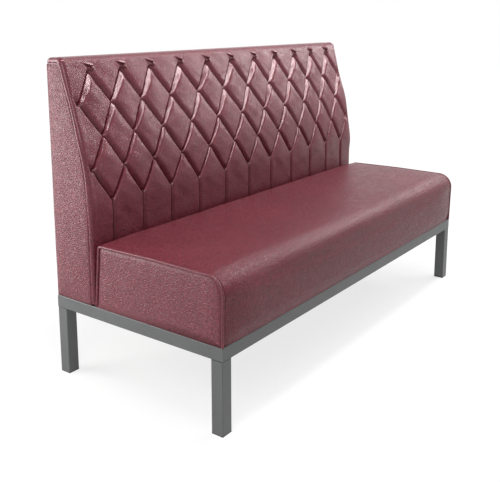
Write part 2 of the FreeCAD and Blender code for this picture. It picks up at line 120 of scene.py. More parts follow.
class BoothQuiltSizes(bpy.types.PropertyGroup):
    columns: IntProperty(name="Columns", default=11, min=1, description="Top tips along the bench")
    rows: IntProperty(name="Rows", default=4, min=1,
                      description="Half diamonds from the bottom tips to the top tips")
    centre_diamonds: IntProperty(name="Wide diamonds", default=6, description="Wide diamonds in the middle")
    centre_width: length("Wide diamond", 0.147, "Width of the middle diamonds")
    end_width: length("End diamond", 0.133, "Width of the diamonds near the ends")
    half_height: length("Half height", 0.101, "Half the height of a diamond, along the face")
    bottom_tip: length("Bottom tips", 0.318, "Distance of the bottom tips above the foot, along the face")
    depth: length("Fold depth", 0.0132, "How deep the folds pull the leather in")
    crown: length("Crown", 0.0028, "How far the middle of a diamond swells")
    slot_depth: length("Slot depth", 0.0030, "Extra depth right in the fold")
    slot_width: length("Slot width", 0.0020, "Half width of the slot in the fold")
    falling_slot: share("Falling slot", 0.0, "Slot of the falling folds as a share of the rising ones'")
    flank: number("Flank", 0.98, "Rise over run of a top rising fold's steep side")
    low_flank: number("Low flank", 1.85, "How much steeper that side is at the foot")
    roll: length("Roll", 0.008, "How wide the leather rolls down into a falling fold from below")
    edge: length("Edge", 0.0058, "How wide the leather drops into a rising fold from above")
    crest: length("Crest", 0.0012, "How softly a fold's crest is rounded")
    dip: length("Dip", 0.022, "How wide the leather falls into a falling fold from above")
    proud: length("Proud", 0.0062, "How far the upper left edge of a top diamond stands over its neighbour")
    pleat_depth: length("Pleat depth", 0.0095, "Depth of the upright pleats")
    pleat_lip: length("Pleat lip", 0.011, "Width of a pleat's right side")
    pleat_dip: length("Pleat dip", 0.006, "Width of a pleat's left side")
    tuck_length: length("Tuck length", 0.036, "Length of the small leaf of leather folded over each top tip")
    tuck_width: length("Tuck width", 0.0098, "Width of the leaf")
    tuck_rise: length("Tuck rise", 0.0095, "How far the leaf stands up")
    knot_rise: length("Knot rise", 0.0050, "How far the small knot beside the leaf stands up")
    run_on: length("Run on", 0.032, "How far a fold runs on past the last diamond")
    run_out: length("Run out", 0.012, "How soon the last diamonds flatten beside their corners")
    wobble: length("Wobble", 0.0016, "How far sewing wanders from the straight")
    fineness: IntProperty(name="Fineness", default=17, min=4, description="Mesh steps across half a diamond")
    seed: IntProperty(name="Seed", default=7, description="Seed for the small unevenness of the sewing")


class BoothSeatSizes(bpy.types.PropertyGroup):
    thickness: length("Thickness", 0.204, "Seat height over the frame at the ends")
    rake: length("Rear rake", 0.02, "How far the rear leans forward from foot to top")
    rear_radius: length("Rear radius", 0.014, "Rounding of the rear top edge")
    front_radius: length("Front radius", 0.056, "Rounding of the front top edge")
    draft: length("Front draft", 0.004, "How far the front draws in to its foot")
    crown: length("Crown", 0.003, "Rise of the top between rear and front")
    crown_radius: length("Crown radius", 2.5, "Rounding of the crown")
    crown_share: share("Crown place", 0.48, "Where the crown is, from rear to front")
    end_draw: length("End draw", 0.0045, "How far the ends draw in")
    softness: length("Softness", 0.15, "Length over which the ends draw in")
    skin: length("Skin", 0.006, "Thickness of leather and fleece")
    front_belly: length("Front belly", 0.0035, "How far the front swells over its foot")
    seam_pull: length("Seam pull", 0.0016, "How far the welt seam pulls the leather down")
    panel_fullness: length("Panel fullness", 0.0032, "How far the end panels swell")
    welt_radius: length("Welt radius", PIPING_HIGH.x / 2 - PIPING_LOW.x / 2, "Radius of the welt")
    welt_proud: length("Welt proud", 0.0002, "How far the welt stands over the seat's outline")


class BoothLeatherFinish(bpy.types.PropertyGroup):
    colour: tint("Colour", (0.150, 0.024, 0.036), "Burgundy of the leather")
    # The crease colour is painted shade: it darkens the leather deep in folds, in seam grooves and between
    # pebbles.
    crease: tint("Crease colour", (0.060, 0.008, 0.014), "Colour deep in folds and pores")
    thread: tint("Thread colour", (0.110, 0.020, 0.030), "Colour of the thread")
    roughness: share("Roughness", 0.23, "Roughness of the leather")
    dullness: share("Dullness", 0.10, "How much rougher the leather is in its duller specks")
    grain: length("Grain", 0.0052, "Size of a pebble of the grain")
    valley: share("Valley", 0.30, "Width of the valleys between pebbles as a share of a pebble")
    grain_height: length("Grain height", 0.00038, "Height of a pebble of the grain")
    unevenness: length("Unevenness", 0.0005, "Height of the slower unevenness under the grain")
    wrinkle_height: length("Wrinkle height", 0.0003, "Height of the soft wrinkles")


class BoothStitchSizes(bpy.types.PropertyGroup):
    pitch: length("Pitch", 0.0055, "Distance from stitch to stitch")
    stitch: length("Stitch", 0.0040, "Length of a stitch")
    thread: length("Thread", 0.0011, "Thickness of the thread")
    staple_pitch: length("Staple pitch", 0.045, "Distance from staple to staple under the seat")
    staple: length("Staple", 0.010, "Length of a staple")
    staple_wire: length("Staple wire", 0.0012, "Thickness of a staple")


class BoothSteelFinish(bpy.types.PropertyGroup):
    colour: tint("Colour", (0.086, 0.088, 0.089), "Dark grey of the powder coat")
    roughness: share("Roughness", 0.42, "Roughness of the powder coat")
    peel: length("Orange peel", 0.0011, "Size of the coat's fine dimples")


class BoothStage(bpy.types.PropertyGroup):
    camera_place: FloatVectorProperty(name="Camera", default=(-2.2416, -1.4779, 1.1334),
                                      description="Place of the camera", subtype="TRANSLATION")
    camera_turn: angle("Turn", 53.77, "Turn of the camera from the rear towards the right")
    camera_dip: angle("Dip", 10.90, "How far the camera looks down")
    camera_lens: number("Lens", 53.23, "Focal length on a 36 mm wide frame")
    camera_shift: number("Shift", -0.165, "Upright shift of the frame")
    sky: number("Sky", 0.20, "Strength of the even light from all round")
    key: number("Key", 66.0, "Power of the lamp over the front", "POWER")
    side: number("Side", 45.0, "Power of the lamp behind the left end", "POWER")
    left: number("Left", 11.5, "Power of the lamp before the left end", "POWER")
    strip: number("Strip", 22.0, "Power of the lamp that carries the first one on", "POWER")
    rim: number("Rim", 43.0, "Power of the lamp at the right", "POWER")
    glow: share("Glow", 0.72, "How much of the floor's whiteness is its own")
    floor: tint("Floor", (0.88, 0.88, 0.88), "Colour of the floor")


class BoothSettings(bpy.types.PropertyGroup):
    back: PointerProperty(type=BoothBackSizes, name="Back", description="Sizes of the back")
    quilt: PointerProperty(type=BoothQuiltSizes, name="Quilt", description="Sizes of the quilting")
    seat: PointerProperty(type=BoothSeatSizes, name="Seat", description="Sizes of the seat")
    leather: PointerProperty(type=BoothLeatherFinish, name="Leather", description="Finish of the leather")
    stitch: PointerProperty(type=BoothStitchSizes, name="Stitches",
                            description="Sizes of stitches and staples")
    steel: PointerProperty(type=BoothSteelFinish, name="Steel", description="Finish of the base")
    stage: PointerProperty(type=BoothStage, name="Stage", description="Camera, lamps and floor")


# Profiles

Run = namedtuple("Run", "along y z turn")


def rounded_run(corners, step=0.0006):
    """Points along a run of (y, z, radius) corners, with the distance and the heading at each."""
    places = []
    start = np.array(corners[0][:2])
    for index in range(1, len(corners)):
        corner, radius = np.array(corners[index][:2]), corners[index][2]
        ahead = (corner - start) / np.linalg.norm(corner - start)
        heading = math.atan2(ahead[1], ahead[0])
        end = corner
        arc = []
        if index < len(corners) - 1 and radius > 0:
            onward = np.array(corners[index + 1][:2]) - corner
            onward /= np.linalg.norm(onward)
            bend = math.atan2(ahead[0] * onward[1] - ahead[1] * onward[0], ahead @ onward)
            end = corner - ahead * (radius * math.tan(abs(bend) / 2))
            side = np.array([-ahead[1], ahead[0]]) * math.copysign(1, bend)
            centre, spoke = end + side * radius, -side * radius
            count = max(2, int(abs(bend) * radius / step))
            for turned in np.linspace(0, bend, count + 1)[1:]:
                cos, sin = math.cos(turned), math.sin(turned)
                place = centre + np.array([cos * spoke[0] - sin * spoke[1], sin * spoke[0] + cos * spoke[1]])
                arc.append((place[0], place[1], heading + turned))
        places.append((start[0], start[1], heading))
        places.append((end[0], end[1], heading))
        places += arc
        start = np.array(places[-1][:2])
    y, z, turn = np.array(places).T
    along = np.concatenate([[0], np.cumsum(np.hypot(np.diff(y), np.diff(z)))])
    # Two places at one spot still get distances that rise.
    along += np.arange(len(along)) * 1e-12
    return Run(along, y, z, np.unwrap(turn))


def on_run(run, along, lift=0.0):
    """Places at distances along a run, lifted to its left side, and the way that side faces there."""
    turn = np.interp(along, run.along, run.turn)
    face_y, face_z = -np.sin(turn), np.cos(turn)
    y = np.interp(along, run.along, run.y) + lift * face_y
    z = np.interp(along, run.along, run.z) + lift * face_z
    return y, z, face_y, face_z


def steps(*stops):
    """Distances from stop to stop. Each stop is (distance, number of steps to the next)."""
    parts = [np.linspace(here[0], there[0], here[1] + 1)[:-1] for here, there in zip(stops, stops[1:])]
    return np.concatenate(parts + [[stops[-1][0]]])


def smooth(part):
    """An even, soft step: 0 up to 0 and 1 from 1 on."""
    part = np.clip(part, 0, 1)
    return part * part * (3 - 2 * part)


def back_run(sizes):
    """The back's profile from the hem under its foot, up the face, over the top and down to the rear seam."""
    face, rear = COVER_HIGH.y - sizes.depth, COVER_HIGH.y
    foot, top = COVER_LOW.z, COVER_HIGH.z
    return rounded_run([
        (face + sizes.turn_under, foot, 0),
        (face, foot, sizes.hem_radius),
        (face, foot + sizes.knee_height, sizes.bend_radius),
        (rear - sizes.top_depth, top, sizes.front_radius),
        (rear, top, sizes.rear_radius),
        (rear, REAR_HIGH.z, 0),
    ])


def seat_run(sizes, draw):
    """The seat's profile from the hem under its front, over the top and down the rear."""
    back = sizes_back()
    front = SEAT_LOW.y - HAIR + draw
    rear = COVER_HIGH.y - back.depth - UNIT_GAP
    foot = SEAT_LOW.z
    top = foot + sizes.thickness - draw
    lean = sizes.rake * (top - foot) / sizes.thickness
    middle = rear + (front - rear) * sizes.crown_share
    return rounded_run([
        (front + sizes.draft + back.turn_under, foot, 0),
        (front + sizes.draft, foot, back.hem_radius),
        (front, top, sizes.front_radius),
        (middle, top + sizes.crown, sizes.crown_radius),
        (rear - lean, top, sizes.rear_radius),
        (rear, foot, back.hem_radius),
        (rear - back.turn_under, foot, 0),
    ])


def sizes_back():
    """The settings of the back."""
    return bpy.context.scene.booth.back


def part_above(run, height):
    """First and last distance along a run where it's at or over a height."""
    along = np.linspace(0, run.along[-1], 6000)
    over = along[np.interp(along, run.along, run.z) >= height]
    return over[0], over[-1]


# Meshes

def mesh_piece(name, verts, faces, material, attributes=None):
    """A smooth-shaded mesh whose closed parts face outwards."""
    mesh = bpy.data.meshes.new(name)
    mesh.from_pydata([tuple(v) for v in np.asarray(verts, float)], [], faces)
    for key, values in (attributes or {}).items():
        layer = mesh.attributes.new(key, "FLOAT", "POINT")
        layer.data.foreach_set("value", np.asarray(values, np.float32))
    shaped = bmesh.new()
    shaped.from_mesh(mesh)
    bmesh.ops.recalc_face_normals(shaped, faces=shaped.faces)
    shaped.to_mesh(mesh)
    shaped.free()
    mesh.polygons.foreach_set("use_smooth", [True] * len(mesh.polygons))
    mesh.materials.append(material)
    return placed(name, mesh)


def placed(name, data):
    """A new object with this data, in the scene."""
    made = bpy.data.objects.new(name, data)
    bpy.context.scene.collection.objects.link(made)
    return made


def finish_piece(piece, slot, *nodes):
    """Fixes a piece to the bench and hides the nodes whose place it takes. slot is not used."""
    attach(piece, BODY)
    if nodes:
        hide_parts(*nodes)


def grid_faces(rows, columns):
    """Quads of a grid whose vertices are stored row by row."""
    corner = (np.arange(rows - 1)[:, None] * columns + np.arange(columns - 1)[None, :]).ravel()
    return np.stack([corner, corner + 1, corner + columns + 1, corner + columns], 1)


def tube_along(loops):
    """Vertices and faces of a closed tube through loops of equal length, capped at both ends."""
    count = len(loops[0])
    around = [(index, (index + 1) % count) for index in range(count)]
    faces = [(low + here, low + there, low + count + there, low + count + here)
             for low in range(0, (len(loops) - 1) * count, count) for here, there in around]
    faces.append(tuple(range(count))[::-1])
    faces.append(tuple(range((len(loops) - 1) * count, len(loops) * count)))
    return np.concatenate(loops), faces


def two_sided(rows, columns):
    """Faces of a sheet made of two grids, one stored after the other, with walls round its rim."""
    count = rows * columns
    grid = grid_faces(rows, columns)
    faces = [tuple(f) for f in grid] + [tuple(f[::-1]) for f in grid + count]
    rim = list(range(columns)) + [row * columns + columns - 1 for row in range(1, rows)]
    rim += [(rows - 1) * columns + n for n in range(columns - 2, -1, -1)]
    rim += [row * columns for row in range(rows - 2, 0, -1)]
    return faces + [(here, there, there + count, here + count) for here, there in zip(rim, rim[1:] + rim[:1])]


def distance_to(points, line, closed=True):
    """Distance of each point from a closed or open line of points."""
    best = np.full(len(points), np.inf)
    starts, ends = (line, np.roll(line, -1, 0)) if closed else (line[:-1], line[1:])
    for start, end in zip(starts, ends):
        run = end - start
        part = np.clip(((points - start) @ run) / max(run @ run, 1e-18), 0, 1)
        best = np.minimum(best, np.linalg.norm(points - start - part[:, None] * run, axis=1))
    return best


def points_inside(points, line):
    """Which points lie inside a closed line of points."""
    inside = np.zeros(len(points), bool)
    for start, end in zip(line, np.roll(line, -1, 0)):
        crosses = (start[1] > points[:, 1]) != (end[1] > points[:, 1])
        rise = end[1] - start[1] if abs(end[1] - start[1]) > 1e-15 else 1e-15
        reach = start[0] + (points[:, 1] - start[1]) * (end[0] - start[0]) / rise
        inside ^= crosses & (points[:, 0] < reach)
    return inside


def filled(border, rings, spacing):
    """Points and faces inside a closed border: along the rings beside it, and in a grid further in."""
    low, high = border.min(0), border.max(0)
    across = np.arange(low[0] + spacing / 2, high[0], spacing)
    up = np.arange(low[1] + spacing / 2, high[1], spacing)
    grid = np.array([(a, b) for a in across for b in up])
    edge = max(distance_to(ring, border).max() for ring in rings)
    inside = points_inside(grid, border) & (distance_to(grid, border) > edge + spacing / 3)
    points = np.concatenate([border, *rings, grid[inside]])
    count = len(border)
    loop = [(index, (index + 1) % count) for index in range(count)]
    flat = delaunay_2d_cdt([Vector(p) for p in points], loop, [], 1, 1e-7)
    return np.array([tuple(p) for p in flat[0]]), [tuple(f) for f in flat[2]]


def end_panel(name, node, sign, edge, border, rings, spacing, x_inside, relief):
    """Makes a closed, padded leather panel over one end of the bench, inside a border of (y, z) points. The
    first of these are the edge at the seam. relief gives the points' x, how much shade is painted at them and
    how taut they are, from their places and their distances from the border and from the edge."""
    places, faces = filled(border, rings, spacing)
    depth = distance_to(places, border)
    x, crease, taut = relief(places, depth, distance_to(places, edge, closed=False))
    total = len(places)
    pairs = dict.fromkeys(pair for face in faces for pair in zip(face, face[1:] + face[:1]))
    rim = [pair for pair in pairs if pair[::-1] not in pairs]
    walls = [(here, there, there + total, here + total) for here, there in rim]
    backs = [tuple(index + total for index in face[::-1]) for face in faces]
    front = np.column_stack([sign * x, places])
    back = np.column_stack([np.full(total, sign * x_inside), places])
    plain = np.zeros(total)
    marks = {"crease": np.concatenate([crease, plain]), "taut": np.concatenate([taut, plain])}
    piece = mesh_piece(name, np.concatenate([front, back]), faces + walls + backs, finish("burgundy_leather"),
                       marks)
    swollen(piece, np.concatenate([depth < PANEL_RIM, np.ones(total, bool)]), PANEL_SWELL)
    finish_piece(piece, "smooth_leather", node)


# How the leather settles over its filling: the cloth's settings, the frames that it runs, the rim of an end
# panel that stays put, and how far a panel and the cushion may move.
CLOTH_SETTINGS = {
    "vertex_group_mass": "held",
    "quality": 4,
    "mass": 0.4,
    "tension_stiffness": 30.0,
    "compression_stiffness": 30.0,
    "shear_stiffness": 15.0,
    "bending_stiffness": 1.5,
    "use_pressure": True,
    "uniform_pressure_force": 6.0,
}
CLOTH_FRAMES = 9
PANEL_RIM = 0.002
PANEL_SWELL = 0.0012
CUSHION_SWELL = 0.0022


def swollen(piece, held, limit):
    """Lets the filling push a closed piece out as cloth, with the held vertices fixed, and keeps what has
    settled. No vertex moves further than the limit."""
    scene = bpy.context.scene
    pins = piece.vertex_groups.new(name="held")
    pins.add([int(index) for index in np.flatnonzero(held)], 1.0, "REPLACE")
    cloth = piece.modifiers.new("swell", "CLOTH")
    for key, value in CLOTH_SETTINGS.items():
        setattr(cloth.settings, key, value)
    cloth.settings.effector_weights.gravity = 0.0
    cloth.collision_settings.use_collision = False
    cloth.collision_settings.use_self_collision = False
    cloth.point_cache.frame_start, cloth.point_cache.frame_end = 1, CLOTH_FRAMES
    for moment in range(1, CLOTH_FRAMES + 1):
        scene.frame_set(moment)
    settled = piece.evaluated_get(bpy.context.evaluated_depsgraph_get()).data
    before = np.empty(len(piece.data.vertices) * 3)
    after = np.empty(len(settled.vertices) * 3)
    piece.data.vertices.foreach_get("co", before)
    settled.vertices.foreach_get("co", after)
    move = (after - before).reshape(-1, 3)
    reach = np.linalg.norm(move, axis=1, keepdims=True)
    move = move * np.tanh(reach / limit) * limit / np.maximum(reach, 1e-9)
    piece.modifiers.clear()
    piece.vertex_groups.clear()
    piece.data.vertices.foreach_set("co", before + move.ravel())
    piece.data.update()
    scene.frame_set(1)


def waves(x, y, seed, size):
    """Soft unevenness from a few crossing waves, between about -1 and 1."""
    rng = np.random.default_rng(seed)
    total = np.zeros(np.broadcast(x, y).shape)
    for _ in range(7):
        angle, phase = rng.uniform(0, 2 * math.pi, 2)
        scale = 2 * math.pi / (size * rng.uniform(0.6, 1.8))
        total = total + np.sin((x * math.cos(angle) + y * math.sin(angle)) * scale + phase)
    return total / 4


# Materials

class Nodes:
    """Short calls for building a node tree."""

    def __init__(self, tree):
        self.tree = tree

    def add(self, kind, inputs=None, **settings):
        """A node of this kind with these settings, and a value or a link for each of these inputs."""
        node = self.tree.nodes.new(kind)
        for key, value in settings.items():
            setattr(node, key, value)
        for key, value in (inputs or {}).items():
            self.put(node.inputs[key], value)
        return node

    def put(self, socket, value):
        """Links an output to a socket, or sets the socket's own value."""
        if isinstance(value, bpy.types.NodeSocket):
            self.tree.links.new(value, socket)
        else:
            socket.default_value = value

    def math(self, operation, *values):
        """The result of a sum with these values."""
        node = self.add("ShaderNodeMath", operation=operation)
        for socket, value in zip(node.inputs, values):
            self.put(socket, value)
        return node.outputs[0]

    def place(self):
        """Where on its piece a point lies."""
        return self.add("ShaderNodeTexCoord").outputs["Object"]

    def mark(self, name):
        """A value that the mesh carries at its points."""
        return self.add("ShaderNodeAttribute", attribute_name=name).outputs["Fac"]

    def noise(self, place, scale, detail, **inputs):
        """Outputs of a cloudy texture."""
        inputs = {"Vector": place, "Scale": scale, "Detail": detail, **inputs}
        return self.add("ShaderNodeTexNoise", inputs).outputs

    def cells(self, place, scale, feature="F1", **inputs):
        """Outputs of a texture of cells."""
        inputs = {"Vector": place, "Scale": scale, **inputs}
        return self.add("ShaderNodeTexVoronoi", inputs, feature=feature).outputs

    def blend(self, amount, first, second):
        """The first colour at amount 0 and the second at 1."""
        node = self.add("ShaderNodeMix", data_type="RGBA", blend_type="MIX")
        self.put(node.inputs[0], amount)
        self.put(node.inputs[6], first)
        self.put(node.inputs[7], second)
        return node.outputs[2]

    def remap(self, value, low, high, new_low=0.0, new_high=1.0):
        """A value between low and high, carried over to the new limits."""
        node = self.add("ShaderNodeMapRange", {"Value": value, "From Min": low, "From Max": high,
                                               "To Min": new_low, "To Max": new_high})
        return node.outputs[0]

    def bump(self, height, distance, strength, normal=None):
        """A relief, on top of another one where that is given."""
        inputs = {"Height": height, "Distance": distance, "Strength": strength}
        if normal is not None:
            inputs["Normal"] = normal
        return self.add("ShaderNodeBump", inputs).outputs[0]

    def paint(self, shader, colour, roughness, normal=None):
        """Gives a shader its colour, its roughness and, where it has one, its relief."""
        self.put(shader.inputs["Base Color"], colour)
        self.put(shader.inputs["Roughness"], roughness)
        if normal is not None:
            self.put(shader.inputs["Normal"], normal)


def cleared_nodes(owner):
    """The calls for the node tree of a material or a sky, emptied first."""
    owner.use_nodes = True
    owner.node_tree.nodes.clear()
    return Nodes(owner.node_tree)


def new_material(name):
    """A material with one shader on its output. Returns it, the calls for its nodes and the shader."""
    material = bpy.data.materials.new(name)
    nodes = cleared_nodes(material)
    shader = nodes.add("ShaderNodeBsdfPrincipled")
    nodes.add("ShaderNodeOutputMaterial", {0: shader.outputs[0]})
    return material, nodes, shader


def colour4(colour):
    """A colour with its fourth value, full cover."""
    return (colour[0], colour[1], colour[2], 1.0)


def leather_material(name, grain_share=1.0, gloss=0.50):
    """Pebbled faux leather: smooth pebbles with valleys darkened as painted shade, soft wrinkles, smoother
    where it is taut.
    """
    leather = bpy.context.scene.booth.leather
    material, nodes, shader = new_material(name)
    place, taut, crease = nodes.place(), nodes.mark("taut"), nodes.mark("crease")
    drift = nodes.noise(place, 0.35 / leather.grain, 2.0)["Color"]
    bent = nodes.add("ShaderNodeVectorMath", {0: drift, 1: (leather.grain * 0.9,) * 3, 2: place},
                     operation="MULTIPLY_ADD").outputs[0]
    valleys = nodes.cells(bent, 1 / leather.grain, "DISTANCE_TO_EDGE")["Distance"]
    pebble = nodes.math("POWER", nodes.remap(valleys, 0.0, leather.valley), 0.8)
    own = nodes.cells(bent, 1 / leather.grain)["Color"]
    pores = nodes.noise(place, 0.75 / leather.grain, 2.0)["Fac"]
    uneven = nodes.noise(place, 0.6 / leather.grain, 1.0)["Fac"]
    soft = nodes.noise(place, 30.0, 3.0, Roughness=0.5)["Fac"]
    broad = nodes.noise(place, 3.2, 2.0)["Fac"]
    loose = nodes.math("MULTIPLY_ADD", taut, -0.85, 1.0)
    speck = nodes.math("MULTIPLY", nodes.remap(uneven, 0.35, 0.65), loose)
    tone = nodes.remap(broad, 0.3, 0.7, 0.90, 1.08)
    tone = nodes.math("MULTIPLY", tone, nodes.remap(pores, 0.3, 0.7, 0.80, 1.20))
    tone = nodes.math("MULTIPLY", tone, nodes.remap(own, 0.1, 0.9, 0.80, 1.20))
    # Painted shade: the valleys between pebbles darken towards the crease colour.
    shade = nodes.remap(pebble, 0.0, 1.0, 0.35, 1.0)
    body = nodes.blend(shade, colour4(leather.crease), colour4(leather.colour))
    lit = nodes.add("ShaderNodeHueSaturation", {"Color": body, "Value": tone})
    # Painted shade: the base turns to the crease colour where the mesh's mark says that a fold or seam lies
    # deep.
    base = nodes.blend(nodes.math("MULTIPLY", crease, 0.85), lit.outputs[0], colour4(leather.crease))
    rough = nodes.remap(soft, 0.3, 0.7, leather.roughness - 0.04, leather.roughness + 0.05)
    rough = nodes.math("ADD", rough, nodes.math("MULTIPLY", speck, leather.dullness))
    rough = nodes.math("ADD", rough, nodes.remap(pebble, 0.0, 1.0, 0.12, 0.0))
    rough = nodes.math("MULTIPLY_ADD", taut, -0.09, rough)
    rough = nodes.math("MULTIPLY_ADD", crease, 0.35, rough)
    shader.inputs["Specular IOR Level"].default_value = gloss
    shader.inputs["Specular Tint"].default_value = (1.0, 0.80, 0.82, 1.0)
    normal = nodes.bump(pebble, leather.grain_height, nodes.math("MULTIPLY", loose, grain_share))
    normal = nodes.bump(uneven, leather.unevenness, loose, normal)
    normal = nodes.bump(soft, leather.wrinkle_height * 3, 0.30, normal)
    nodes.paint(shader, base, rough, normal)
    return material


def thread_material():
    """Twisted sewing thread."""
    leather = bpy.context.scene.booth.leather
    material, nodes, shader = new_material("burgundy_thread")
    twist = nodes.add("ShaderNodeTexWave", {"Vector": nodes.place(), "Scale": 900.0, "Distortion": 1.5})
    dark = [part * 0.6 for part in leather.thread]
    colour = nodes.blend(twist.outputs["Fac"], colour4(dark), colour4(leather.thread))
    nodes.paint(shader, colour, 0.6, nodes.bump(twist.outputs["Fac"], 0.0002, 0.5))
    return material


def powder_coat_material():
    """Satin dark grey powder coat with fine dimples and faint handling marks."""
    steel = bpy.context.scene.booth.steel
    material, nodes, shader = new_material("dark_powder_coat")
    place = nodes.place()
    peel = nodes.noise(place, 1 / steel.peel, 2.0)["Fac"]
    cloud = nodes.noise(place, 9.0, 5.0)["Fac"]
    speck = nodes.cells(place, 0.7 / steel.peel)["Distance"]
    tone = nodes.remap(cloud, 0.3, 0.7, 0.93, 1.06)
    tone = nodes.math("MULTIPLY", tone, nodes.remap(speck, 0.0, 0.6, 1.10, 0.97))
    lit = nodes.add("ShaderNodeHueSaturation", {"Color": colour4(steel.colour), "Value": tone})
    rough = nodes.remap(cloud, 0.3, 0.7, steel.roughness - 0.06, steel.roughness + 0.06)
    shader.inputs["Specular IOR Level"].default_value = 0.5
    nodes.paint(shader, lit.outputs[0], rough, nodes.bump(peel, 0.00025, 0.35))
    return material


def moulded_plastic_material():
    """Black plastic with the fine texture of its mould."""
    material, nodes, shader = new_material("black_moulded_plastic")
    fine = nodes.noise(nodes.place(), 1400.0, 3.0)["Fac"]
    colour = nodes.blend(fine, (0.012, 0.012, 0.012, 1), (0.03, 0.03, 0.03, 1))
    nodes.paint(shader, colour, 0.55, nodes.bump(fine, 0.0002, 0.4))
    return material


def zinc_material():
    """Zinc plate with a faint spangle."""
    material, nodes, shader = new_material("zinc_plate")
    spangle = nodes.cells(nodes.place(), 420.0)["Distance"]
    colour = nodes.blend(spangle, (0.62, 0.61, 0.57, 1), (0.48, 0.48, 0.46, 1))
    shader.inputs["Metallic"].default_value = 1.0
    nodes.paint(shader, colour, nodes.remap(spangle, 0.0, 0.6, 0.28, 0.42))
    return material


def wood_material(name, light, dark, plies):
    """Raw timber, or plywood whose layers show on its edges."""
    material, nodes, shader = new_material(name)
    place = nodes.place()
    along = nodes.add("ShaderNodeMapping", {"Vector": place, "Scale": (1.2, 14.0, 14.0)})
    grain = nodes.noise(along.outputs[0], 9.0, 6.0, Distortion=0.6)["Fac"]
    colour = nodes.blend(grain, colour4(dark), colour4(light))
    if plies:
        layers = nodes.add("ShaderNodeTexWave", {"Vector": place, "Scale": 110.0, "Distortion": 0.2},
                           bands_direction="Z")
        colour = nodes.blend(nodes.math("MULTIPLY", layers.outputs["Fac"], 0.25), colour, colour4(dark))
    nodes.paint(shader, colour, 0.7, nodes.bump(grain, 0.0005, 0.35))
    return material


def foam_material():
    """Pale foam with open cells."""
    material, nodes, shader = new_material("open_cell_foam")
    cells = nodes.cells(nodes.place(), 700.0)["Distance"]
    colour = nodes.blend(cells, (0.74, 0.70, 0.55, 1), (0.55, 0.50, 0.36, 1))
    nodes.paint(shader, colour, 0.95, nodes.bump(cells, 0.0008, 0.6))
    return material


def dust_cloth_material():
    """Black non-woven cloth with a fine embossed grid."""
    material, nodes, shader = new_material("black_dust_cloth")
    place = nodes.place()
    dots = nodes.cells(place, 620.0, Randomness=0.15)["Distance"]
    fibre = nodes.noise(place, 260.0, 6.0)["Fac"]
    colour = nodes.blend(fibre, (0.010, 0.010, 0.011, 1), (0.035, 0.035, 0.037, 1))
    shader.inputs["Sheen Weight"].default_value = 0.2
    nodes.paint(shader, colour, 0.9, nodes.bump(dots, 0.0004, 0.5))
    return material


MAKERS = {
    "burgundy_quilted": lambda: leather_material("burgundy_quilted"),
    "burgundy_leather": lambda: leather_material("burgundy_leather", grain_share=1.75, gloss=0.45),
    "burgundy_seat": lambda: leather_material("burgundy_seat", grain_share=1.3, gloss=0.24),
    "burgundy_welt": lambda: leather_material("burgundy_welt", grain_share=0.6),
    "burgundy_thread": thread_material,
    "dark_powder_coat": powder_coat_material,
    "black_moulded_plastic": moulded_plastic_material,
    "zinc_plate": zinc_material,
    "birch_plywood": lambda: wood_material("birch_plywood", (0.62, 0.44, 0.26), (0.38, 0.24, 0.12),
                                           plies=True),
    "planed_softwood": lambda: wood_material("planed_softwood", (0.68, 0.50, 0.30), (0.45, 0.28, 0.14),
                                             plies=False),
    "open_cell_foam": foam_material,
    "black_dust_cloth": dust_cloth_material,
}


def finish(name):
    """The material of this name, made the first time that it is asked for."""
    return bpy.data.materials.get(name) or MAKERS[name]()


# Geometry node trees

def new_tree(name, inputs):
    """A geometry tree with a curve in, a mesh out and named inputs. Returns its calls and input sockets."""
    tree = bpy.data.node_groups.new(name, "GeometryNodeTree")
    tree.interface.new_socket("Geometry", in_out="INPUT", socket_type="NodeSocketGeometry")
    tree.interface.new_socket("Geometry", in_out="OUTPUT", socket_type="NodeSocketGeometry")
    for label, kind in inputs.items():
        tree.interface.new_socket(label, in_out="INPUT", socket_type="NodeSocket" + kind)
    nodes = Nodes(tree)
    return nodes, nodes.add("NodeGroupInput").outputs


def end_tree(nodes, geometry, material):
    """Turns what a tree has made into plain, smooth, painted faces on its output."""
    real = nodes.add("GeometryNodeRealizeInstances", {"Geometry": geometry})
    shaded = nodes.add("GeometryNodeSetShadeSmooth", {"Geometry": real.outputs[0]})
    painted = nodes.add("GeometryNodeSetMaterial", {"Geometry": shaded.outputs[0], "Material": material})
    nodes.add("NodeGroupOutput", {0: painted.outputs[0]})
    return nodes.tree


def row_tree():
    """Small rounded bars set end to end along a curve: stitches and staples."""
    nodes, given = new_tree("bars_along_a_line", {"Pitch": "Float", "Length": "Float", "Thickness": "Float",
                                                  "Seed": "Int", "Material": "Material"})
    spaced = nodes.add("GeometryNodeResampleCurve", {"Curve": given["Geometry"], "Length": given["Pitch"]},
                       mode="LENGTH")
    bar = nodes.add("GeometryNodeMeshUVSphere", {"Segments": 6, "Rings": 5, "Radius": 0.5})
    tangent = nodes.add("GeometryNodeInputTangent").outputs[0]
    turned = nodes.add("FunctionNodeAlignRotationToVector", {"Vector": tangent}, axis="Z")
    thickness = given["Thickness"]
    size = nodes.add("ShaderNodeCombineXYZ", {"X": thickness, "Y": thickness, "Z": given["Length"]})
    uneven = nodes.add("FunctionNodeRandomValue", {"Seed": given["Seed"]}, data_type="FLOAT")
    low, high = [socket for socket in uneven.inputs if socket.enabled and socket.name in ("Min", "Max")]
    low.default_value, high.default_value = 0.92, 1.06
    factor = next(socket for socket in uneven.outputs if socket.enabled)
    scaled = nodes.add("ShaderNodeVectorMath", {0: size.outputs[0], "Scale": factor}, operation="SCALE")
    bars = nodes.add("GeometryNodeInstanceOnPoints", {"Points": spaced.outputs[0], "Instance": bar.outputs[0],
                                                      "Rotation": turned.outputs[0],
                                                      "Scale": scaled.outputs[0]})
    return end_tree(nodes, bars.outputs[0], given["Material"])


